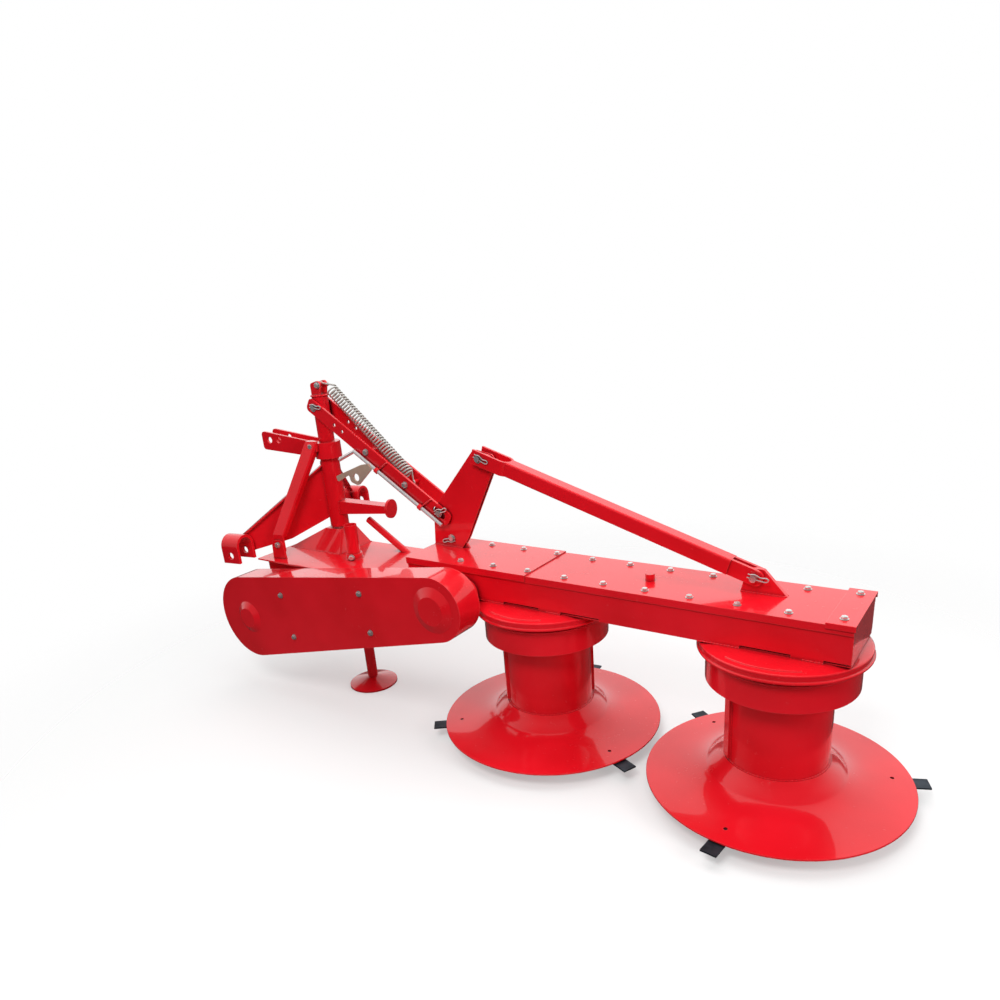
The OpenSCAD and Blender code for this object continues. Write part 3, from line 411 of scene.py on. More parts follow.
class NodeTree:
    """A Geometry Nodes tree under construction."""

    def __init__(self, name, sizes):
        self.tree = bpy.data.node_groups.new(name, "GeometryNodeTree")
        interface = self.tree.interface
        interface.new_socket("Geometry", in_out="INPUT", socket_type="NodeSocketGeometry")
        self.ids = {}
        for size in sizes:
            kind = "NodeSocketMaterial" if size == "Finish" else "NodeSocketFloat"
            socket = interface.new_socket(size, in_out="INPUT", socket_type=kind)
            self.ids[size] = socket.identifier
        interface.new_socket("Geometry", in_out="OUTPUT", socket_type="NodeSocketGeometry")
        self.start = self.tree.nodes.new("NodeGroupInput")
        self.end = self.tree.nodes.new("NodeGroupOutput")

    def given(self, name):
        return self.start.outputs[name]

    def add(self, kind, settings=None, values=None, out=0):
        node = self.tree.nodes.new(kind)
        for name, value in (settings or {}).items():
            setattr(node, name, value)
        for key, value in (values or {}).items():
            if isinstance(value, bpy.types.NodeSocket):
                self.tree.links.new(value, node.inputs[key])
            elif isinstance(value, list):
                for socket in reversed(value):
                    self.tree.links.new(socket, node.inputs[key])
            else:
                node.inputs[key].default_value = value
        return node.outputs[out]

    def maths(self, operation, first, second=0.0):
        return self.add("ShaderNodeMath", {"operation": operation}, {0: first, 1: second})

    def times(self, first, second):
        return self.maths("MULTIPLY", first, second)

    def plus(self, first, second):
        return self.maths("ADD", first, second)

    def lift(self, shape, height):
        offset = self.add("ShaderNodeCombineXYZ", None, {"Z": height})
        return self.add("GeometryNodeTransform", None, {"Geometry": shape, "Translation": offset})

    def cylinder(self, sides, radius, height):
        """A cylinder that stands on the origin."""
        values = {"Vertices": sides, "Radius": radius, "Depth": height}
        shape = self.add("GeometryNodeMeshCylinder", None, values)
        return self.lift(shape, self.times(height, 0.5))

    def circle(self, sides, width):
        """A round profile for a curve."""
        values = {"Resolution": sides, "Radius": self.times(width, 0.5)}
        return self.add("GeometryNodeCurvePrimitiveCircle", {"mode": "RADIUS"}, values)

    def about_z(self, angle):
        values = {"Axis": (0, 0, 1), "Angle": angle}
        return self.add("FunctionNodeAxisAngleToRotation", None, values)

    def stand_on_points(self, shape, turn=None):
        """A copy of the shape on each point, upright on the direction that the point faces."""
        settings = {"data_type": "FLOAT_VECTOR"}
        facing = self.add("GeometryNodeInputNamedAttribute", settings, {"Name": "facing"})
        pose = self.add("FunctionNodeAlignRotationToVector", {"axis": "Z"}, {"Vector": facing})
        if turn is not None:
            pose = self.add("FunctionNodeRotateRotation", {"rotation_space": "LOCAL"},
                            {0: pose, 1: self.about_z(turn)})
        values = {"Points": self.given("Geometry"), "Instance": shape, "Rotation": pose}
        return self.add("GeometryNodeInstanceOnPoints", None, values)

    def finish(self, shape, smooth_angle=SMOOTH_ANGLE):
        """Ends the tree with a plain, smooth mesh in the given finish."""
        shape = self.add("GeometryNodeRealizeInstances", None, {"Geometry": shape})
        shape = self.add("GeometryNodeSetShadeSmooth", None,
                         {"Geometry": shape, "Shade Smooth": True})
        angle = self.add("GeometryNodeInputMeshEdgeAngle")
        sharp = self.add("FunctionNodeCompare", {"operation": "GREATER_THAN"},
                         {0: angle, 1: smooth_angle})
        shape = self.add("GeometryNodeSetShadeSmooth", {"domain": "EDGE"},
                         {"Geometry": shape, "Selection": sharp, "Shade Smooth": False})
        shape = self.add("GeometryNodeSetMaterial", None,
                         {"Geometry": shape, "Material": self.given("Finish")})
        self.tree.links.new(shape, self.end.inputs["Geometry"])
        print(self.tree.name, "tree has", len(self.tree.nodes), "nodes")


print("tree builder ready")


# %% From a tree to a piece
def settled_mesh(source, modifier):
    """The plain mesh that a modifier makes. The source and its modifier are removed."""
    graph = bpy.context.evaluated_depsgraph_get()
    mesh = bpy.data.meshes.new_from_object(source.evaluated_get(graph))
    source.modifiers.remove(modifier)
    bpy.data.objects.remove(source)
    return mesh


def add_piece(name, mesh, body):
    """Shows a mesh as a piece, which rides on a body if one is given."""
    piece = bpy.data.objects.new(name, mesh)
    mesh.name = name
    bpy.context.scene.collection.objects.link(piece)
    if body:
        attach(piece, body)
    print(name, "on", body or "two bodies", len(mesh.polygons), "faces")
    return piece


def grow(name, source, maker, sizes, body, slot, at=(0, 0, 0)):
    """Runs a node tree on a source object and keeps the result as a piece."""
    modifier = source.modifiers.new("grow", "NODES")
    modifier.node_group = maker.tree
    for size, value in sizes.items():
        modifier[maker.ids[size]] = value
    modifier[maker.ids["Finish"]] = finishes[slot]
    mesh = settled_mesh(source, modifier)
    mesh.transform(Matrix.Translation(at))
    return add_piece(name, mesh, body)


def point_cloud(places):
    """A mesh of loose points, each with the direction that its fastener faces."""
    mesh = bpy.data.meshes.new("places")
    mesh.from_pydata([place for place, facing in places], [], [])
    facing = mesh.attributes.new("facing", "FLOAT_VECTOR", "POINT")
    facing.data.foreach_set("vector", [c for place, way in places for c in way])
    cloud = bpy.data.objects.new("places", mesh)
    bpy.context.scene.collection.objects.link(cloud)
    return cloud


def wire_path(lines, closed=False):
    """A curve object whose splines run through lists of points."""
    curve = bpy.data.curves.new("path", "CURVE")
    curve.dimensions = "3D"
    for line in lines:
        spline = curve.splines.new("POLY")
        spline.points.add(len(line) - 1)
        spline.use_cyclic_u = closed
        for point, place in zip(spline.points, line):
            point.co = (*place, 1)
    path = bpy.data.objects.new("path", curve)
    bpy.context.scene.collection.objects.link(path)
    return path


print("node helpers ready")


# %% [markdown]
# ## Hex bolts
# The lid of the bar is held by two rows of zinc-plated hex bolts on flat washers, and four more
# hold the belt cover. A bolt could be modelled once and copied by hand. Instancing it on points is
# shorter, and a seeded turn leaves each head at its own angle, as a spanner does.

# %% Bolt tree
HEX_SIDES = 6
WASHER_SIDES = 28
HEAD_SHARE = 0.78
CROWN_SHARE = 0.84
HEAD_TURN = 6.28
HEAD_SEED = 7
BOLT_SIZES = ["Across flats", "Head height", "Washer width", "Washer thickness", "Finish"]
bolts = NodeTree("hex_bolts", BOLT_SIZES)
washer_t = bolts.given("Washer thickness")
corner = bolts.maths("DIVIDE", bolts.given("Across flats"), 2 * math.cos(math.pi / HEX_SIDES))
head_t = bolts.times(bolts.given("Head height"), HEAD_SHARE)
crown_t = bolts.times(bolts.given("Head height"), 1 - HEAD_SHARE)
washer = bolts.cylinder(WASHER_SIDES, bolts.times(bolts.given("Washer width"), 0.5), washer_t)
head = bolts.lift(bolts.cylinder(HEX_SIDES, corner, head_t), washer_t)
crown = bolts.add("GeometryNodeMeshCone", None, {
    "Vertices": HEX_SIDES, "Radius Bottom": corner,
    "Radius Top": bolts.times(corner, CROWN_SHARE), "Depth": crown_t})
crown = bolts.lift(crown, bolts.plus(washer_t, head_t))
bolt = bolts.add("GeometryNodeJoinGeometry", None, {"Geometry": [washer, head, crown]})
turn = bolts.add("FunctionNodeRandomValue", {"data_type": "FLOAT"},
                 {2: 0.0, 3: HEAD_TURN, "Seed": HEAD_SEED}, out=1)
bolts.finish(bolts.stand_on_points(bolt, turn))


# %% Bolts of the bar lid
UP = Vector((0, 0, 1))
OUT = Vector((0, -1, 0))
BOLT_PITCH = 139 * MM
BOLT_IN = 36 * MM
BOLT_FROM_END = 37 * MM
BOLTS_IN_ROW = 10
STRIP_LIFT = 3 * MM
LID_BOLT = {"Across flats": 16 * MM, "Head height": 7 * MM,
            "Washer width": 23 * MM, "Washer thickness": 2 * MM}

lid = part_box("bar_lid")
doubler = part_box("lid_doubler")
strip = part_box("end_strip")


def lid_height(x):
    if x < doubler[1].x:
        return doubler[1].z
    return strip[1].z + STRIP_LIFT if x > strip[0].x else lid[1].z


lid_places = []
for number in range(BOLTS_IN_ROW):
    x = strip[1].x - BOLT_FROM_END - number * BOLT_PITCH
    for y in (lid[0].y + BOLT_IN, lid[1].y - BOLT_IN):
        lid_places.append((Vector((x, y, lid_height(x))), UP))
grow("lid_bolts", point_cloud(lid_places), bolts, LID_BOLT, "cutter_bar", "zinc_steel")


# %% [markdown]
# ## Folded strip at the bar's end
# The outer end of the bar is closed by a plate that sits back inside the trough, and a strip of
# sheet with folded lips lies over the last bolts. Both are drawn from an outline by a few lines of
# mesh code, and a Bevel modifier gives their edges the small radius of a fold, which catches a thin
# line of light.

# %% Drawn profiles
FOLD_RADIUS = 1.2 * MM
FOLD_STEPS = 3


def add_profile(mesh, outline, x_from, x_to):
    """Draws a closed outline of Y and Z along X."""
    ends = [[mesh.verts.new((x, y, z)) for y, z in outline] for x in (x_from, x_to)]
    for end in ends:
        mesh.faces.new(end)
    for i in range(len(outline)):
        mesh.faces.new((ends[0][i - 1], ends[0][i], ends[1][i], ends[1][i - 1]))


def folded_sheet(name, profiles, body, slot):
    """Drawn profiles with rounded edges, as one piece."""
    mesh = bmesh.new()
    for profile in profiles:
        add_profile(mesh, *profile)
    bmesh.ops.recalc_face_normals(mesh, faces=mesh.faces)
    source = bpy.data.objects.new("sheet", bpy.data.meshes.new("sheet"))
    mesh.to_mesh(source.data)
    mesh.free()
    bpy.context.scene.collection.objects.link(source)
    fold = source.modifiers.new("fold", "BEVEL")
    fold.width, fold.segments = FOLD_RADIUS, FOLD_STEPS
    sheet = settled_mesh(source, fold)
    sheet.materials.append(finishes[slot])
    return add_piece(name, sheet, body)


print("folds have a radius of", FOLD_RADIUS, "m")


# %% End strip
SHEET = 4 * MM
LIP = 10 * MM
STRIP_GAP = 1 * MM
PLATE_BACK = 14 * MM
PLATE_IN = 3 * SHEET

low, high = strip
lid_top = high.z - SHEET
lip_low, lip_t = lid_top - LIP, SHEET - STRIP_GAP
strip_low, strip_top = lid_top + STRIP_GAP, high.z + STRIP_LIFT
strip_outline = [
    (low.y, lip_low), (low.y, strip_top), (high.y, strip_top), (high.y, lip_low),
    (high.y - lip_t, lip_low), (high.y - lip_t, strip_low),
    (low.y + lip_t, strip_low), (low.y + lip_t, lip_low)]
near, far = low.y + PLATE_IN, high.y - PLATE_IN
plate_top, plate_x = lid_top - SHEET, high.x - PLATE_BACK
plate_outline = [(near, low.z), (near, plate_top), (far, plate_top), (far, low.z)]
end_profiles = [(strip_outline, low.x, high.x), (plate_outline, plate_x - SHEET, plate_x)]
end_sheet = folded_sheet("folded_end_strip", end_profiles, "cutter_bar", "red_paint")
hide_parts("end_strip")


# %% [markdown]
# ## Bolts of the belt cover
# Four bolts hold the face of the cover. They could be placed by their X and Z, but the cover leans,
# so they are measured along the line of its belt and across it.

# %% Cover bolts
COVER_BOLTS = [(250 * MM, 84 * MM), (250 * MM, -90 * MM), (697 * MM, 72 * MM), (697 * MM, -76 * MM)]
BULGE_RISE = 14 * MM
input_axis = Vector(joints["input_spin"]["pos_m"])
tilt_axis = Vector(joints["bar_tilt"]["pos_m"])
belt_way = (tilt_axis - input_axis) * Vector((1, 0, 1))
belt_way.normalize()
belt_across = Vector((-belt_way.z, 0, belt_way.x))
cover_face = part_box("belt_cover")[0].y + BULGE_RISE

cover_places = []
for along, across in COVER_BOLTS:
    place = input_axis + belt_way * along + belt_across * across
    cover_places.append((Vector((place.x, cover_face, place.z)), OUT))
grow("cover_bolts", point_cloud(cover_places), bolts, LID_BOLT, "carrier", "zinc_steel")


# %% [markdown]
# ## Three frames for places
# The link bars lean, and the hitch stands nine degrees off square. Their fasteners are easier to
# place along the bar, ahead of the post or round a drum, so three short functions turn such
# measures into points of the shared frame.

# %% Places on the link, the hitch and the drums
BACK = Vector((0, 1, 0))
PARK_ANGLE = math.radians(9)
link_pivot = Vector(joints["link_pivot"]["pos_m"])
link_way = (middle(rocker_pin) - link_pivot) * Vector((1, 0, 1))
link_len = link_way.length
link_way.normalize()
link_up = Vector((-link_way.z, 0, link_way.x))
post = Vector((link_pivot.x, link_pivot.y, 0))
ahead = Vector((-math.cos(PARK_ANGLE), -math.sin(PARK_ANGLE), 0))
leftward = Vector((math.sin(PARK_ANGLE), -math.cos(PARK_ANGLE), 0))
drum_axes = (joints[name]["pos_m"] for name in ("drum_1_spin", "drum_2_spin"))
drums = [Vector(axis) * Vector((1, 1, 0)) for axis in drum_axes]


def on_link(along, up, side=0.0):
    return link_pivot + link_way * along + link_up * up + BACK * side


def on_hitch(fore, left, height):
    return post + ahead * fore + leftward * left + UP * height


def round_drum(drum, radius, turn, height):
    angle = math.radians(turn)
    return drum + Vector((radius * math.cos(angle), radius * math.sin(angle), height))


print("link", round(link_len, 3), "m, post at", tuple(round(c, 3) for c in post))


# %% Bolts of the linkage
SPACERS_AT = (302 * MM, 516 * MM)
LINK_OUT = 42 * MM
LINK_BOLT = {"Across flats": 19 * MM, "Head height": 8 * MM,
             "Washer width": 25 * MM, "Washer thickness": 2.5 * MM}
link_places = [(on_link(at, 0, side * LINK_OUT), BACK * side)
               for at in SPACERS_AT for side in (-1, 1)]
grow("link_bolts", point_cloud(link_places), bolts, LINK_BOLT, "lift_link", "zinc_steel")


# %% Bolts of the post, the lock and the leg
EARS_OUT = 21 * MM
SPRING_BOLT_FORE, SPRING_BOLT_DROP = 20 * MM, 16 * MM
LOCK_BOLT_AT, LOCK_BOLT_UP = (168 * MM, 206.3 * MM), 58 * MM
COLLAR_BOLT_AT, COLLAR_BOLT_DROP = (30 * MM, 66.5 * MM), 10 * MM
LEG_BOLT_WAY = Vector((0.45, -0.89, 0))
LEG_BOLT_OUT, LEG_BOLT_UP = 32.5 * MM, 11 * MM

post_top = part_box("swing_post")[1].z
deck_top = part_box("deck")[1].z
collar_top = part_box("hitch_sleeve")[1].z
leg_axis = middle(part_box("parking_leg")) * Vector((1, 1, 0))
spring_bolt = Vector((post.x + SPRING_BOLT_FORE, post.y, post_top - SPRING_BOLT_DROP))
carrier_places = [
    (spring_bolt + OUT * EARS_OUT, OUT),
    (spring_bolt + BACK * EARS_OUT, BACK),
    (on_hitch(*LOCK_BOLT_AT, deck_top + LOCK_BOLT_UP), leftward),
    (leg_axis + LEG_BOLT_WAY * LEG_BOLT_OUT + UP * (deck_top + LEG_BOLT_UP), LEG_BOLT_WAY),
]
grow("carrier_bolts", point_cloud(carrier_places), bolts, LINK_BOLT, "carrier", "zinc_steel")

collar_places = [(on_hitch(*COLLAR_BOLT_AT, collar_top - COLLAR_BOLT_DROP), leftward)]
grow("lock_bolt", point_cloud(collar_places), bolts, LINK_BOLT, "hitch", "zinc_steel")


# %% [markdown]
# ## Flared discs
# Each drum stands on a spun steel disc: a flat cone that turns up into a rounded shoulder at the
# drum's foot, with a hole over each knife. Glossy paint shows every facet, so the solid's few bands
# aren't enough here. A screw modifier could spin a profile, but a node tree can also drill it: a
# flat grid is wrapped round the axis, one row of the grid for each point of the profile, and three
# instanced drills are cut away.

# %% Lathe tree
KNIVES = 3
DRILL_SIDES = 24
DRILL_LENGTH = 1.0
lathe = NodeTree("lathe", ["Turns", "Points", "Hole width", "Hole ring", "Hole turn", "Finish"])
points = lathe.given("Points")
grid = lathe.add("GeometryNodeMeshGrid", None, {
    "Size X": 1.0, "Size Y": 1.0,
    "Vertices X": lathe.plus(lathe.given("Turns"), 1.0), "Vertices Y": lathe.plus(points, 1.0)})
place = lathe.add("GeometryNodeInputPosition")
cell = lathe.add("ShaderNodeSeparateXYZ", None, {0: place})
spin = lathe.times(lathe.plus(cell, 0.5), 2 * math.pi)
line = lathe.maths("ROUND", lathe.times(lathe.plus(cell.node.outputs["Y"], 0.5), points))
sample = lathe.add("GeometryNodeSampleIndex", {"data_type": "FLOAT_VECTOR", "domain": "POINT"}, {
    "Geometry": lathe.given("Geometry"), "Value": place,
    "Index": lathe.maths("MODULO", line, points)})
outline = lathe.add("ShaderNodeSeparateXYZ", None, {0: sample})
wrapped = lathe.add("ShaderNodeCombineXYZ", None, {
    "X": lathe.times(outline, lathe.maths("COSINE", spin)),
    "Y": lathe.times(outline, lathe.maths("SINE", spin)),
    "Z": outline.node.outputs["Z"]})
spun = lathe.add("GeometryNodeSetPosition", None, {"Geometry": grid, "Position": wrapped})
spun = lathe.add("GeometryNodeMergeByDistance", None,
                 {"Geometry": spun, "Distance": MERGE_DISTANCE})
drill = lathe.add("GeometryNodeMeshCylinder", None, {
    "Vertices": DRILL_SIDES, "Radius": lathe.times(lathe.given("Hole width"), 0.5),
    "Depth": DRILL_LENGTH})
ring = lathe.add("GeometryNodeMeshCircle", None,
                 {"Vertices": KNIVES, "Radius": lathe.given("Hole ring")})
ring = lathe.add("GeometryNodeTransform", None,
                 {"Geometry": ring, "Rotation": lathe.about_z(lathe.given("Hole turn"))})
drills = lathe.add("GeometryNodeInstanceOnPoints", None, {"Points": ring, "Instance": drill})
drills = lathe.add("GeometryNodeRealizeInstances", None, {"Geometry": drills})
bored = lathe.add("GeometryNodeMeshBoolean", {"operation": "DIFFERENCE"},
                  {"Mesh 1": spun, "Mesh 2": drills})
lathe.finish(bored)


# %% Disc profile
DISC_T = 5 * MM
DRUM_R = 150 * MM
SEAT_R = DRUM_R - 30 * MM
FLARE_R = DRUM_R + 6 * MM
FLARE_CONE, FLARE_POWER = 0.22, 5
FLARE_STEPS = 64
SHOULDER_R = DRUM_R + 52 * MM
SHOULDER_RISE, SHOULDER_POWER = 4.5 * MM, 0.8
RIM_IN, RIM_TOP, RIM_FOOT = 0.8 * MM, 1.2 * MM, 1 * MM


def disc_profile(box):
    """A closed line in the XZ plane: up the flare, across the seat and back underneath."""
    rim_r, low, high = (box[1].x - box[0].x) / 2, box[0].z + DISC_T, box[1].z
    upper, lower = [], []
    for step in range(FLARE_STEPS + 1):
        share = step / FLARE_STEPS
        radius = rim_r + (FLARE_R - rim_r) * share
        rise = (high - low) * (FLARE_CONE * share + (1 - FLARE_CONE) * share ** FLARE_POWER)
        inside = max(0.0, (SHOULDER_R - radius) / (SHOULDER_R - FLARE_R))
        swell = SHOULDER_RISE * math.sin(math.pi * inside ** SHOULDER_POWER)
        upper.append(Vector((radius, 0, low + rise + swell)))
        lower.append(Vector((radius - DISC_T * share, 0, low + rise - DISC_T)))
    upper[0].x -= RIM_IN
    edge = [Vector((rim_r, 0, low - DISC_T + RIM_FOOT)), Vector((rim_r, 0, low - RIM_TOP))]
    seat = [Vector((SEAT_R, 0, high)), Vector((SEAT_R, 0, high - DISC_T))]
    return upper + seat + lower[::-1] + edge


print("flare in", FLARE_STEPS, "steps")


# %% Discs
DISC_TURNS = 160.0
HOLE_WIDTH = 12 * MM
KNIFE_TURNS = (-23.5, 23.5)
KNIFE_RADIUS = 330 * MM
DRUM_BODIES = ("first_drum", "second_drum")
for number, drum in enumerate(drums):
    profile = disc_profile(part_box(f"disc_{number + 1}"))
    sizes = {"Turns": DISC_TURNS, "Points": float(len(profile)), "Hole width": HOLE_WIDTH,
             "Hole ring": KNIFE_RADIUS, "Hole turn": math.radians(KNIFE_TURNS[number])}
    flared = grow(f"flared_disc_{number + 1}", wire_path([profile], closed=True), lathe, sizes,
                  DRUM_BODIES[number], "red_paint", drum)
    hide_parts(f"disc_{number + 1}")


# %% Bolts of the knives
DOWN = Vector((0, 0, -1))
KNIFE_BOLT = {"Across flats": 19 * MM, "Head height": 6 * MM,
              "Washer width": 24 * MM, "Washer thickness": 1 * MM}
for number, drum in enumerate(drums):
    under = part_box(f"knives_{number + 1}")[0].z
    turns = [KNIFE_TURNS[number] + 360 / KNIVES * knife for knife in range(KNIVES)]
    knife_places = [(round_drum(drum, KNIFE_RADIUS, turn, under), DOWN) for turn in turns]
    grow(f"knife_bolts_{number + 1}", point_cloud(knife_places), bolts, KNIFE_BOLT,
         DRUM_BODIES[number], "zinc_steel")


# %% [markdown]
# ## Lift spring
# A long tension spring runs from the post's ears to the link bars and takes part of the bar's
# weight. The solid has few facets, so a smooth coil is shown for it. A helix can be written as a
# formula, and one node tree gives any path its thickness. The spring is hooked to two bodies, so
# it is left where it is drawn and rides on neither.

# %% Wire tree
WIRE_SIDES = 10
wires = NodeTree("round_wire", ["Wire width", "Finish"])
tube = wires.add("GeometryNodeCurveToMesh", None, {
    "Curve": wires.given("Geometry"), "Fill Caps": True,
    "Profile Curve": wires.circle(WIRE_SIDES, wires.given("Wire width"))})
wires.finish(tube)


# %% Lift spring
SPRING_TURNS = 36
TURN_STEPS = 26
SPRING_RADIUS = 21.5 * MM
SPRING_WIRE = 6.8 * MM
SPRING_TOP, SPRING_FOOT = (24 * MM, 94 * MM), (492 * MM, 18 * MM)
TOP_HOOK_R, FOOT_HOOK_R = 9.4 * MM, 10.4 * MM
HOOK_OPEN, HOOK_CLOSED, HOOK_STEPS = 100, -110, 12
spring_from, spring_to = on_link(*SPRING_TOP), on_link(*SPRING_FOOT)
spring_way = (spring_to - spring_from).normalized()
spring_up = Vector((-spring_way.z, 0, spring_way.x))


def hook(around, radius, way, start, stop):
    """Part of a circle in the spring's upright plane."""
    turns = [math.radians(start + (stop - start) * i / HOOK_STEPS) for i in range(HOOK_STEPS + 1)]
    return [around + (way * math.cos(turn) + spring_up * math.sin(turn)) * radius for turn in turns]


coil = []
for i in range(SPRING_TURNS * TURN_STEPS + 1):
    turn = 2 * math.pi * i / TURN_STEPS
    spot = spring_from.lerp(spring_to, i / (SPRING_TURNS * TURN_STEPS))
    coil.append(spot + (spring_up * math.cos(turn) + BACK * math.sin(turn)) * SPRING_RADIUS)
top_hook = hook(spring_bolt, TOP_HOOK_R, -spring_way, HOOK_CLOSED, HOOK_OPEN)
foot_hook = hook(on_link(SPACERS_AT[1], 0), FOOT_HOOK_R, spring_way, HOOK_OPEN, HOOK_CLOSED)
spring = grow("spring_coil", wire_path([top_hook + coil + foot_hook]), wires,
              {"Wire width": SPRING_WIRE}, None, "spring_wire")
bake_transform(spring)
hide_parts("lift_spring")


# %% [markdown]
# ## Pins, washers and clips
# Each linkage pin has a washer against the plate and a hairpin clip through its near end. The clip
# is one bent wire: a straight leg through the pin, a loop, and a leg that springs round the pin.
# Its few bends are written down in millimetres and their corners are then cut.

# %% Hairpin clips
CLIP_WIRE = {"Wire width": 4.2 * MM}
CLIP_IN = 4 * MM
CLIP_BENDS = [(-17, 0), (0, 0), (30, 0), (38, 1), (43, 5), (43, 10), (38, 13), (31, 12), (22, 9),
              (14, 11), (6, 14), (-3, 13.5), (-10, 10), (-16, 11)]
CUT_ROUNDS, CUT_SHARE = 2, 0.25


def cut_corners(points):
    """Rounds an open line by cutting its corners."""
    for _ in range(CUT_ROUNDS):
        cut = [points[0]]
        for a, b in zip(points, points[1:]):
            cut += [a.lerp(b, CUT_SHARE), a.lerp(b, 1 - CUT_SHARE)]
        points = cut + [points[-1]]
    return points


def clip(pin, turn):
    """A hairpin clip across the near end of a pin that points along Y."""
    at = Vector((middle(pin).x, pin[0].y + CLIP_IN, middle(pin).z))
    way = Vector((math.cos(math.radians(turn)), 0, math.sin(math.radians(turn))))
    across = Vector((-way.z, 0, way.x))
    return cut_corners([at + way * a * MM + across * b * MM for a, b in CLIP_BENDS])


CLIP_TURNS = ((rocker_pin, 15), (rocker_head_pin, -25), (rocker_foot_pin, 190), (strut_pin, -10))
POST_CLIP_TURN = -8
link_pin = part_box("link_pin")
bar_clips = [clip(pin, turn) for pin, turn in CLIP_TURNS]
post_clips = [clip(link_pin, POST_CLIP_TURN)]
grow("bar_clips", wire_path(bar_clips), wires, CLIP_WIRE, "cutter_bar", "zinc_steel")
grow("post_clip", wire_path(post_clips), wires, CLIP_WIRE, "carrier", "zinc_steel")


# %% Washers of the pins
PIN_WASHER_SIDES = 36
PIN_OVER = 8 * MM
WASHER = {"Width": 30 * MM, "Thickness": 2 * MM}
washers = NodeTree("flat_washers", ["Width", "Thickness", "Finish"])
washers.finish(washers.stand_on_points(washers.cylinder(
    PIN_WASHER_SIDES, washers.times(washers.given("Width"), 0.5), washers.given("Thickness"))))


def washer_places(boxes):
    """Both ends of pins that stand out of their plates by the same amount."""
    places = []
    for low, high in boxes:
        spot = middle((low, high))
        places.append((Vector((spot.x, low.y + PIN_OVER, spot.z)), OUT))
        places.append((Vector((spot.x, high.y - PIN_OVER, spot.z)), BACK))
    return places


bar_places = washer_places([rocker_foot_pin, rocker_head_pin])
grow("bar_washers", point_cloud(bar_places), washers, WASHER, "cutter_bar", "zinc_steel")
link_places = washer_places([link_pin, rocker_pin])
grow("link_washers", point_cloud(link_places), washers, WASHER, "lift_link", "zinc_steel")


# %% [markdown]
# ## Weld seams
# Plates and tubes are welded together and then painted. A seam is a bead whose width swells at each
# pass of the torch. The tree resamples a path every few millimetres and gives neighbouring points a
# wide or a narrow bead.

# %% Weld tree
WELD = {"Bead width": 7 * MM, "Step": 2.2 * MM}
BEAD_SIDES = 7
BEAD_BEAT, BEAD_SWELL, BEAD_MEAN = 1.35, 0.2, 0.9
BEAD_SMOOTH = 1.2
seams = NodeTree("weld_seam", ["Bead width", "Step", "Finish"])
steps = seams.add("GeometryNodeResampleCurve", {"mode": "LENGTH"},
                  {"Curve": seams.given("Geometry"), "Length": seams.given("Step")})
beat = seams.maths("SINE", seams.times(seams.add("GeometryNodeInputIndex"), BEAD_BEAT))
seam = seams.add("GeometryNodeCurveToMesh", None, {
    "Curve": steps, "Profile Curve": seams.circle(BEAD_SIDES, seams.given("Bead width")),
    "Scale": seams.plus(seams.times(beat, BEAD_SWELL), BEAD_MEAN), "Fill Caps": True})
seams.finish(seam, BEAD_SMOOTH)


# %% Welds of the bar and the carrier
ROUND_STEPS = 60
ROCKER_SEAM = 132 * MM
CAP_TABS = ((84 * MM, 138 * MM), (-206 * MM, -84 * MM))
LEG_SEAM_R = POST_SEAM_R = 33 * MM
POST_SEAM_DROP = 56 * MM


def round_line(centre, radius, height):
    turns = [360 * i / ROUND_STEPS for i in range(ROUND_STEPS + 1)]
    return [round_drum(centre, radius, turn, height) for turn in turns]


def along_x(x_from, x_to, y, z):
    return [Vector((x_from, y, z)), Vector((x_to, y, z))]


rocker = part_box("rocker")
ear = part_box("strut_ear")
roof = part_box("post_roof")
cap_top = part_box("drum_cap_1")[1].z
wall = (lid[1].y - lid[0].y) / 2 - SHEET

rocker_x, rocker_z = rocker[0].x, rocker[0].z
bar_lines = [along_x(rocker_x, rocker_x + ROCKER_SEAM, side.y, rocker_z) for side in rocker]
bar_lines += [along_x(ear[0].x, ear[1].x, side.y, ear[0].z) for side in ear]
for drum in drums:
    for y in (drum.y - wall, drum.y + wall):
        for start, stop in CAP_TABS:
            bar_lines.append(along_x(drum.x + start, drum.x + stop, y, cap_top))
grow("bar_welds", wire_path(bar_lines), seams, WELD, "cutter_bar", "red_paint")

carrier_lines = [round_line(leg_axis, LEG_SEAM_R, deck_top),
                 round_line(post, POST_SEAM_R, post_top - POST_SEAM_DROP)]
carrier_lines += [along_x(roof[0].x, roof[1].x, side.y, deck_top) for side in roof]
grow("carrier_welds", wire_path(carrier_lines), seams, WELD, "carrier", "red_paint")


# %% Welds of the hitch
SLEEVE_R, COLLAR_R = 38 * MM, 52.5 * MM
LINK_AHEAD, LOOP_HALF = 320 * MM, 47.5 * MM
WINGS = ((1, 275 * MM), (-1, 550 * MM))
WING_FACES = (-4 * MM, 4 * MM)
EAR_FACES = (-38 * MM, -28 * MM, 28 * MM, 38 * MM)
ARM_FACES = (-25 * MM, 25 * MM)
sleeve_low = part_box("hitch_sleeve")[0].z
wing_seam = (sleeve_low + 45 * MM, collar_top - 78 * MM)
ear_seam = (collar_top - 56 * MM, collar_top - 4 * MM)
arm_seam = (sleeve_low + 53 * MM, sleeve_low + 107 * MM)
collar_low = collar_top - 64 * MM


def upright(fore, left, heights):
    return [on_hitch(fore, left, height) for height in heights]


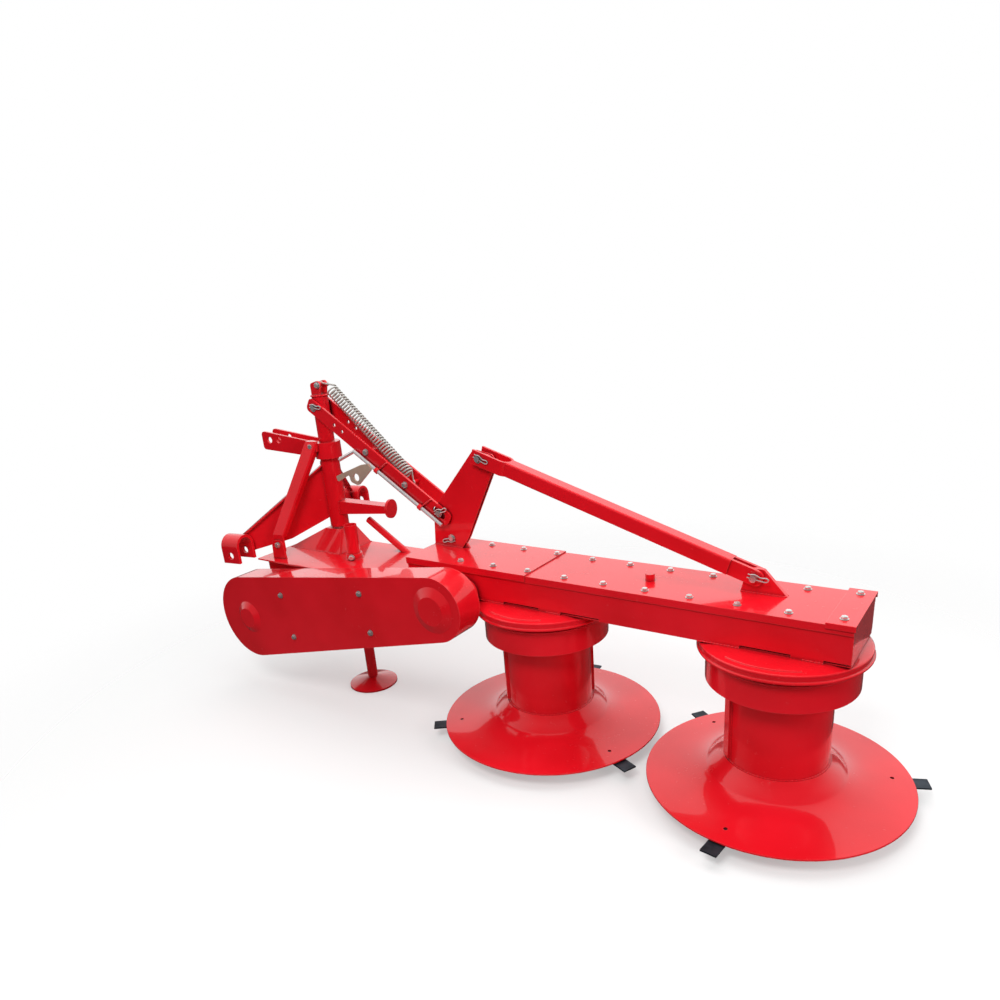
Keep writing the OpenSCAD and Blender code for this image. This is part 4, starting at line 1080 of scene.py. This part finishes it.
hitch_lines = []
for side, out in WINGS:
    bearing = math.atan2(out - LOOP_HALF, LINK_AHEAD)
    for face in WING_FACES:
        fore = SLEEVE_R * math.cos(bearing) - face * math.sin(bearing)
        left = side * (SLEEVE_R * math.sin(bearing) + face * math.cos(bearing))
        hitch_lines.append(upright(fore, left, wing_seam))
for left in EAR_FACES:
    hitch_lines.append(upright(math.sqrt(COLLAR_R ** 2 - left ** 2), left, ear_seam))
for left in ARM_FACES:
    hitch_lines.append(upright(-math.sqrt(SLEEVE_R ** 2 - left ** 2), left, arm_seam))
hitch_lines.append(round_line(post, SLEEVE_R, collar_low))
grow("hitch_welds", wire_path(hitch_lines), seams, WELD, "hitch", "red_paint")


# %% Welds of the drums
RIB_TURNS = (-140, 40)
RIB_HALF = 17 * MM
rib_half_turn = math.degrees(math.asin(RIB_HALF / DRUM_R))
for number, drum in enumerate(drums):
    tube_ends = [corner.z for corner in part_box(f"drum_{number + 1}")]
    drum_lines = [round_line(drum, DRUM_R, height) for height in tube_ends]
    for turn in RIB_TURNS:
        for edge in (turn - rib_half_turn, turn + rib_half_turn):
            drum_lines.append([round_drum(drum, DRUM_R, edge, height) for height in tube_ends])
    grow(f"drum_welds_{number + 1}", wire_path(drum_lines), seams, WELD, DRUM_BODIES[number],
         "red_paint")


# %% [markdown]
# ## Studio
# The picture is a product shot on white. Glossy paint shows what stands around it, so the world has
# a dark ground, a bright band above the horizon, which gives the tops their pale sheen, and a
# softer sky. The band is dimmer in front, so that overhanging rims keep their shadows. The camera
# sees plain white, and so do reflections of what is behind the machine. One panel hangs over the
# machine, one stands high in front, and a weak one lights the bar's end.

# %% World
GROUND, BAND, SKY = 0.06, 0.95, 0.7
HORIZON, BAND_LOW, BAND_HIGH, SKY_LOW = 0.47, 0.52, 0.7, 0.86
BEHIND = (-0.6, 0.8, 0.0)
FRONT_FROM, BACK_FROM = -0.4, 0.5
FRONT_SHARE = 0.2
WHITE = (1, 1, 1, 1)
world = bpy.data.worlds.new("studio")
bpy.context.scene.world = world
world.use_nodes = True
backdrop = world.node_tree.nodes["Background"]
way = Wire(world.node_tree).add("ShaderNodeTexCoord")
height = way.add("ShaderNodeSeparateXYZ", None, {0: way}, out=2) * 0.5 + 0.5
stops = [(HORIZON, GROUND), (BAND_LOW, BAND), (BAND_HIGH, BAND), (SKY_LOW, SKY)]
around = height.add("ShaderNodeValToRGB", {"stops": stops}, {0: height})
behind = way.add("ShaderNodeMapRange", None, {
    "Value": dot(way, way, BEHIND), "From Min": FRONT_FROM, "From Max": BACK_FROM})
around = around * (behind * (1 - FRONT_SHARE) + FRONT_SHARE)
seen = way.add("ShaderNodeLightPath")
mirrored = seen.beside("Is Glossy Ray") + seen.beside("Is Transmission Ray")
white = seen + mirrored * behind * ramp(height, HORIZON, BAND_LOW)
white = white.maths("MINIMUM", white, 1.0)
backdrop.inputs["Color"].default_value = WHITE
feed(world.node_tree, backdrop.inputs["Strength"], around + white * (1 - around))
print("world: ground", GROUND, "band", BAND, "sky", SKY, "and white to the camera")


# %% Lights
PANELS = {
    "overhead": {"at": (0.2, 0.3, 3.4), "towards": (0, 0, 0.3), "size": (3.6, 2.8), "power": 65},
    "front": {"at": (0.8, -3.0, 3.8), "towards": (0.2, 0, 0.3), "size": (1.6, 1.2), "power": 95},
    "side": {"at": (3.6, -0.6, 1.8), "towards": (0.6, 0, 0.4), "size": (1.2, 1.2), "power": 30},
}


def add_panel(name, at, towards, size, power):
    light = bpy.data.lights.new(name, "AREA")
    light.shape = "RECTANGLE"
    light.size, light.size_y = size
    light.energy = power
    lamp = bpy.data.objects.new(name, light)
    lamp.location = at
    lamp.visible_glossy = False
    lamp.rotation_euler = (Vector(towards) - Vector(at)).to_track_quat("-Z", "Y").to_euler()
    bpy.context.scene.collection.objects.link(lamp)


for name, panel in PANELS.items():
    add_panel(name, **panel)
print("panels", list(PANELS))


# %% Floor
FLOOR_HALF = 9.0
FLOOR_DROP = 0.8 * MM
FLOOR_WHITE = (0.93, 0.93, 0.93, 1)
FLOOR_ALPHA = 0.6
FADE_FROM, FADE_TO = 1.0, 2.8
CORNERS = ((-1, -1), (1, -1), (1, 1), (-1, 1))
floor_mesh = bpy.data.meshes.new("floor")
floor_mesh.from_pydata([(x * FLOOR_HALF, y * FLOOR_HALF, 0) for x, y in CORNERS], [], [range(4)])
floor = bpy.data.objects.new("floor", floor_mesh)
floor.location.z = -FLOOR_DROP
floor.visible_glossy = False
bpy.context.scene.collection.objects.link(floor)
finish, shader, place = new_finish("floor_white")
distance = place.add("ShaderNodeVectorMath", {"operation": "LENGTH"}, {0: place}, out=1)
fade = place.add("ShaderNodeMapRange", {"interpolation_type": "SMOOTHSTEP"}, {
    "Value": distance, "From Min": FADE_FROM, "From Max": FADE_TO,
    "To Min": FLOOR_ALPHA, "To Max": 0.0})
connect(finish, shader, {
    "Base Color": FLOOR_WHITE, "Roughness": 0.7, "Alpha": fade, "Specular IOR Level": 0.1})
floor_mesh.materials.append(finish)
print("floor fades out by", FADE_TO, "m")


# %% Finish
bpy.context.scene.view_settings.view_transform = "Standard"
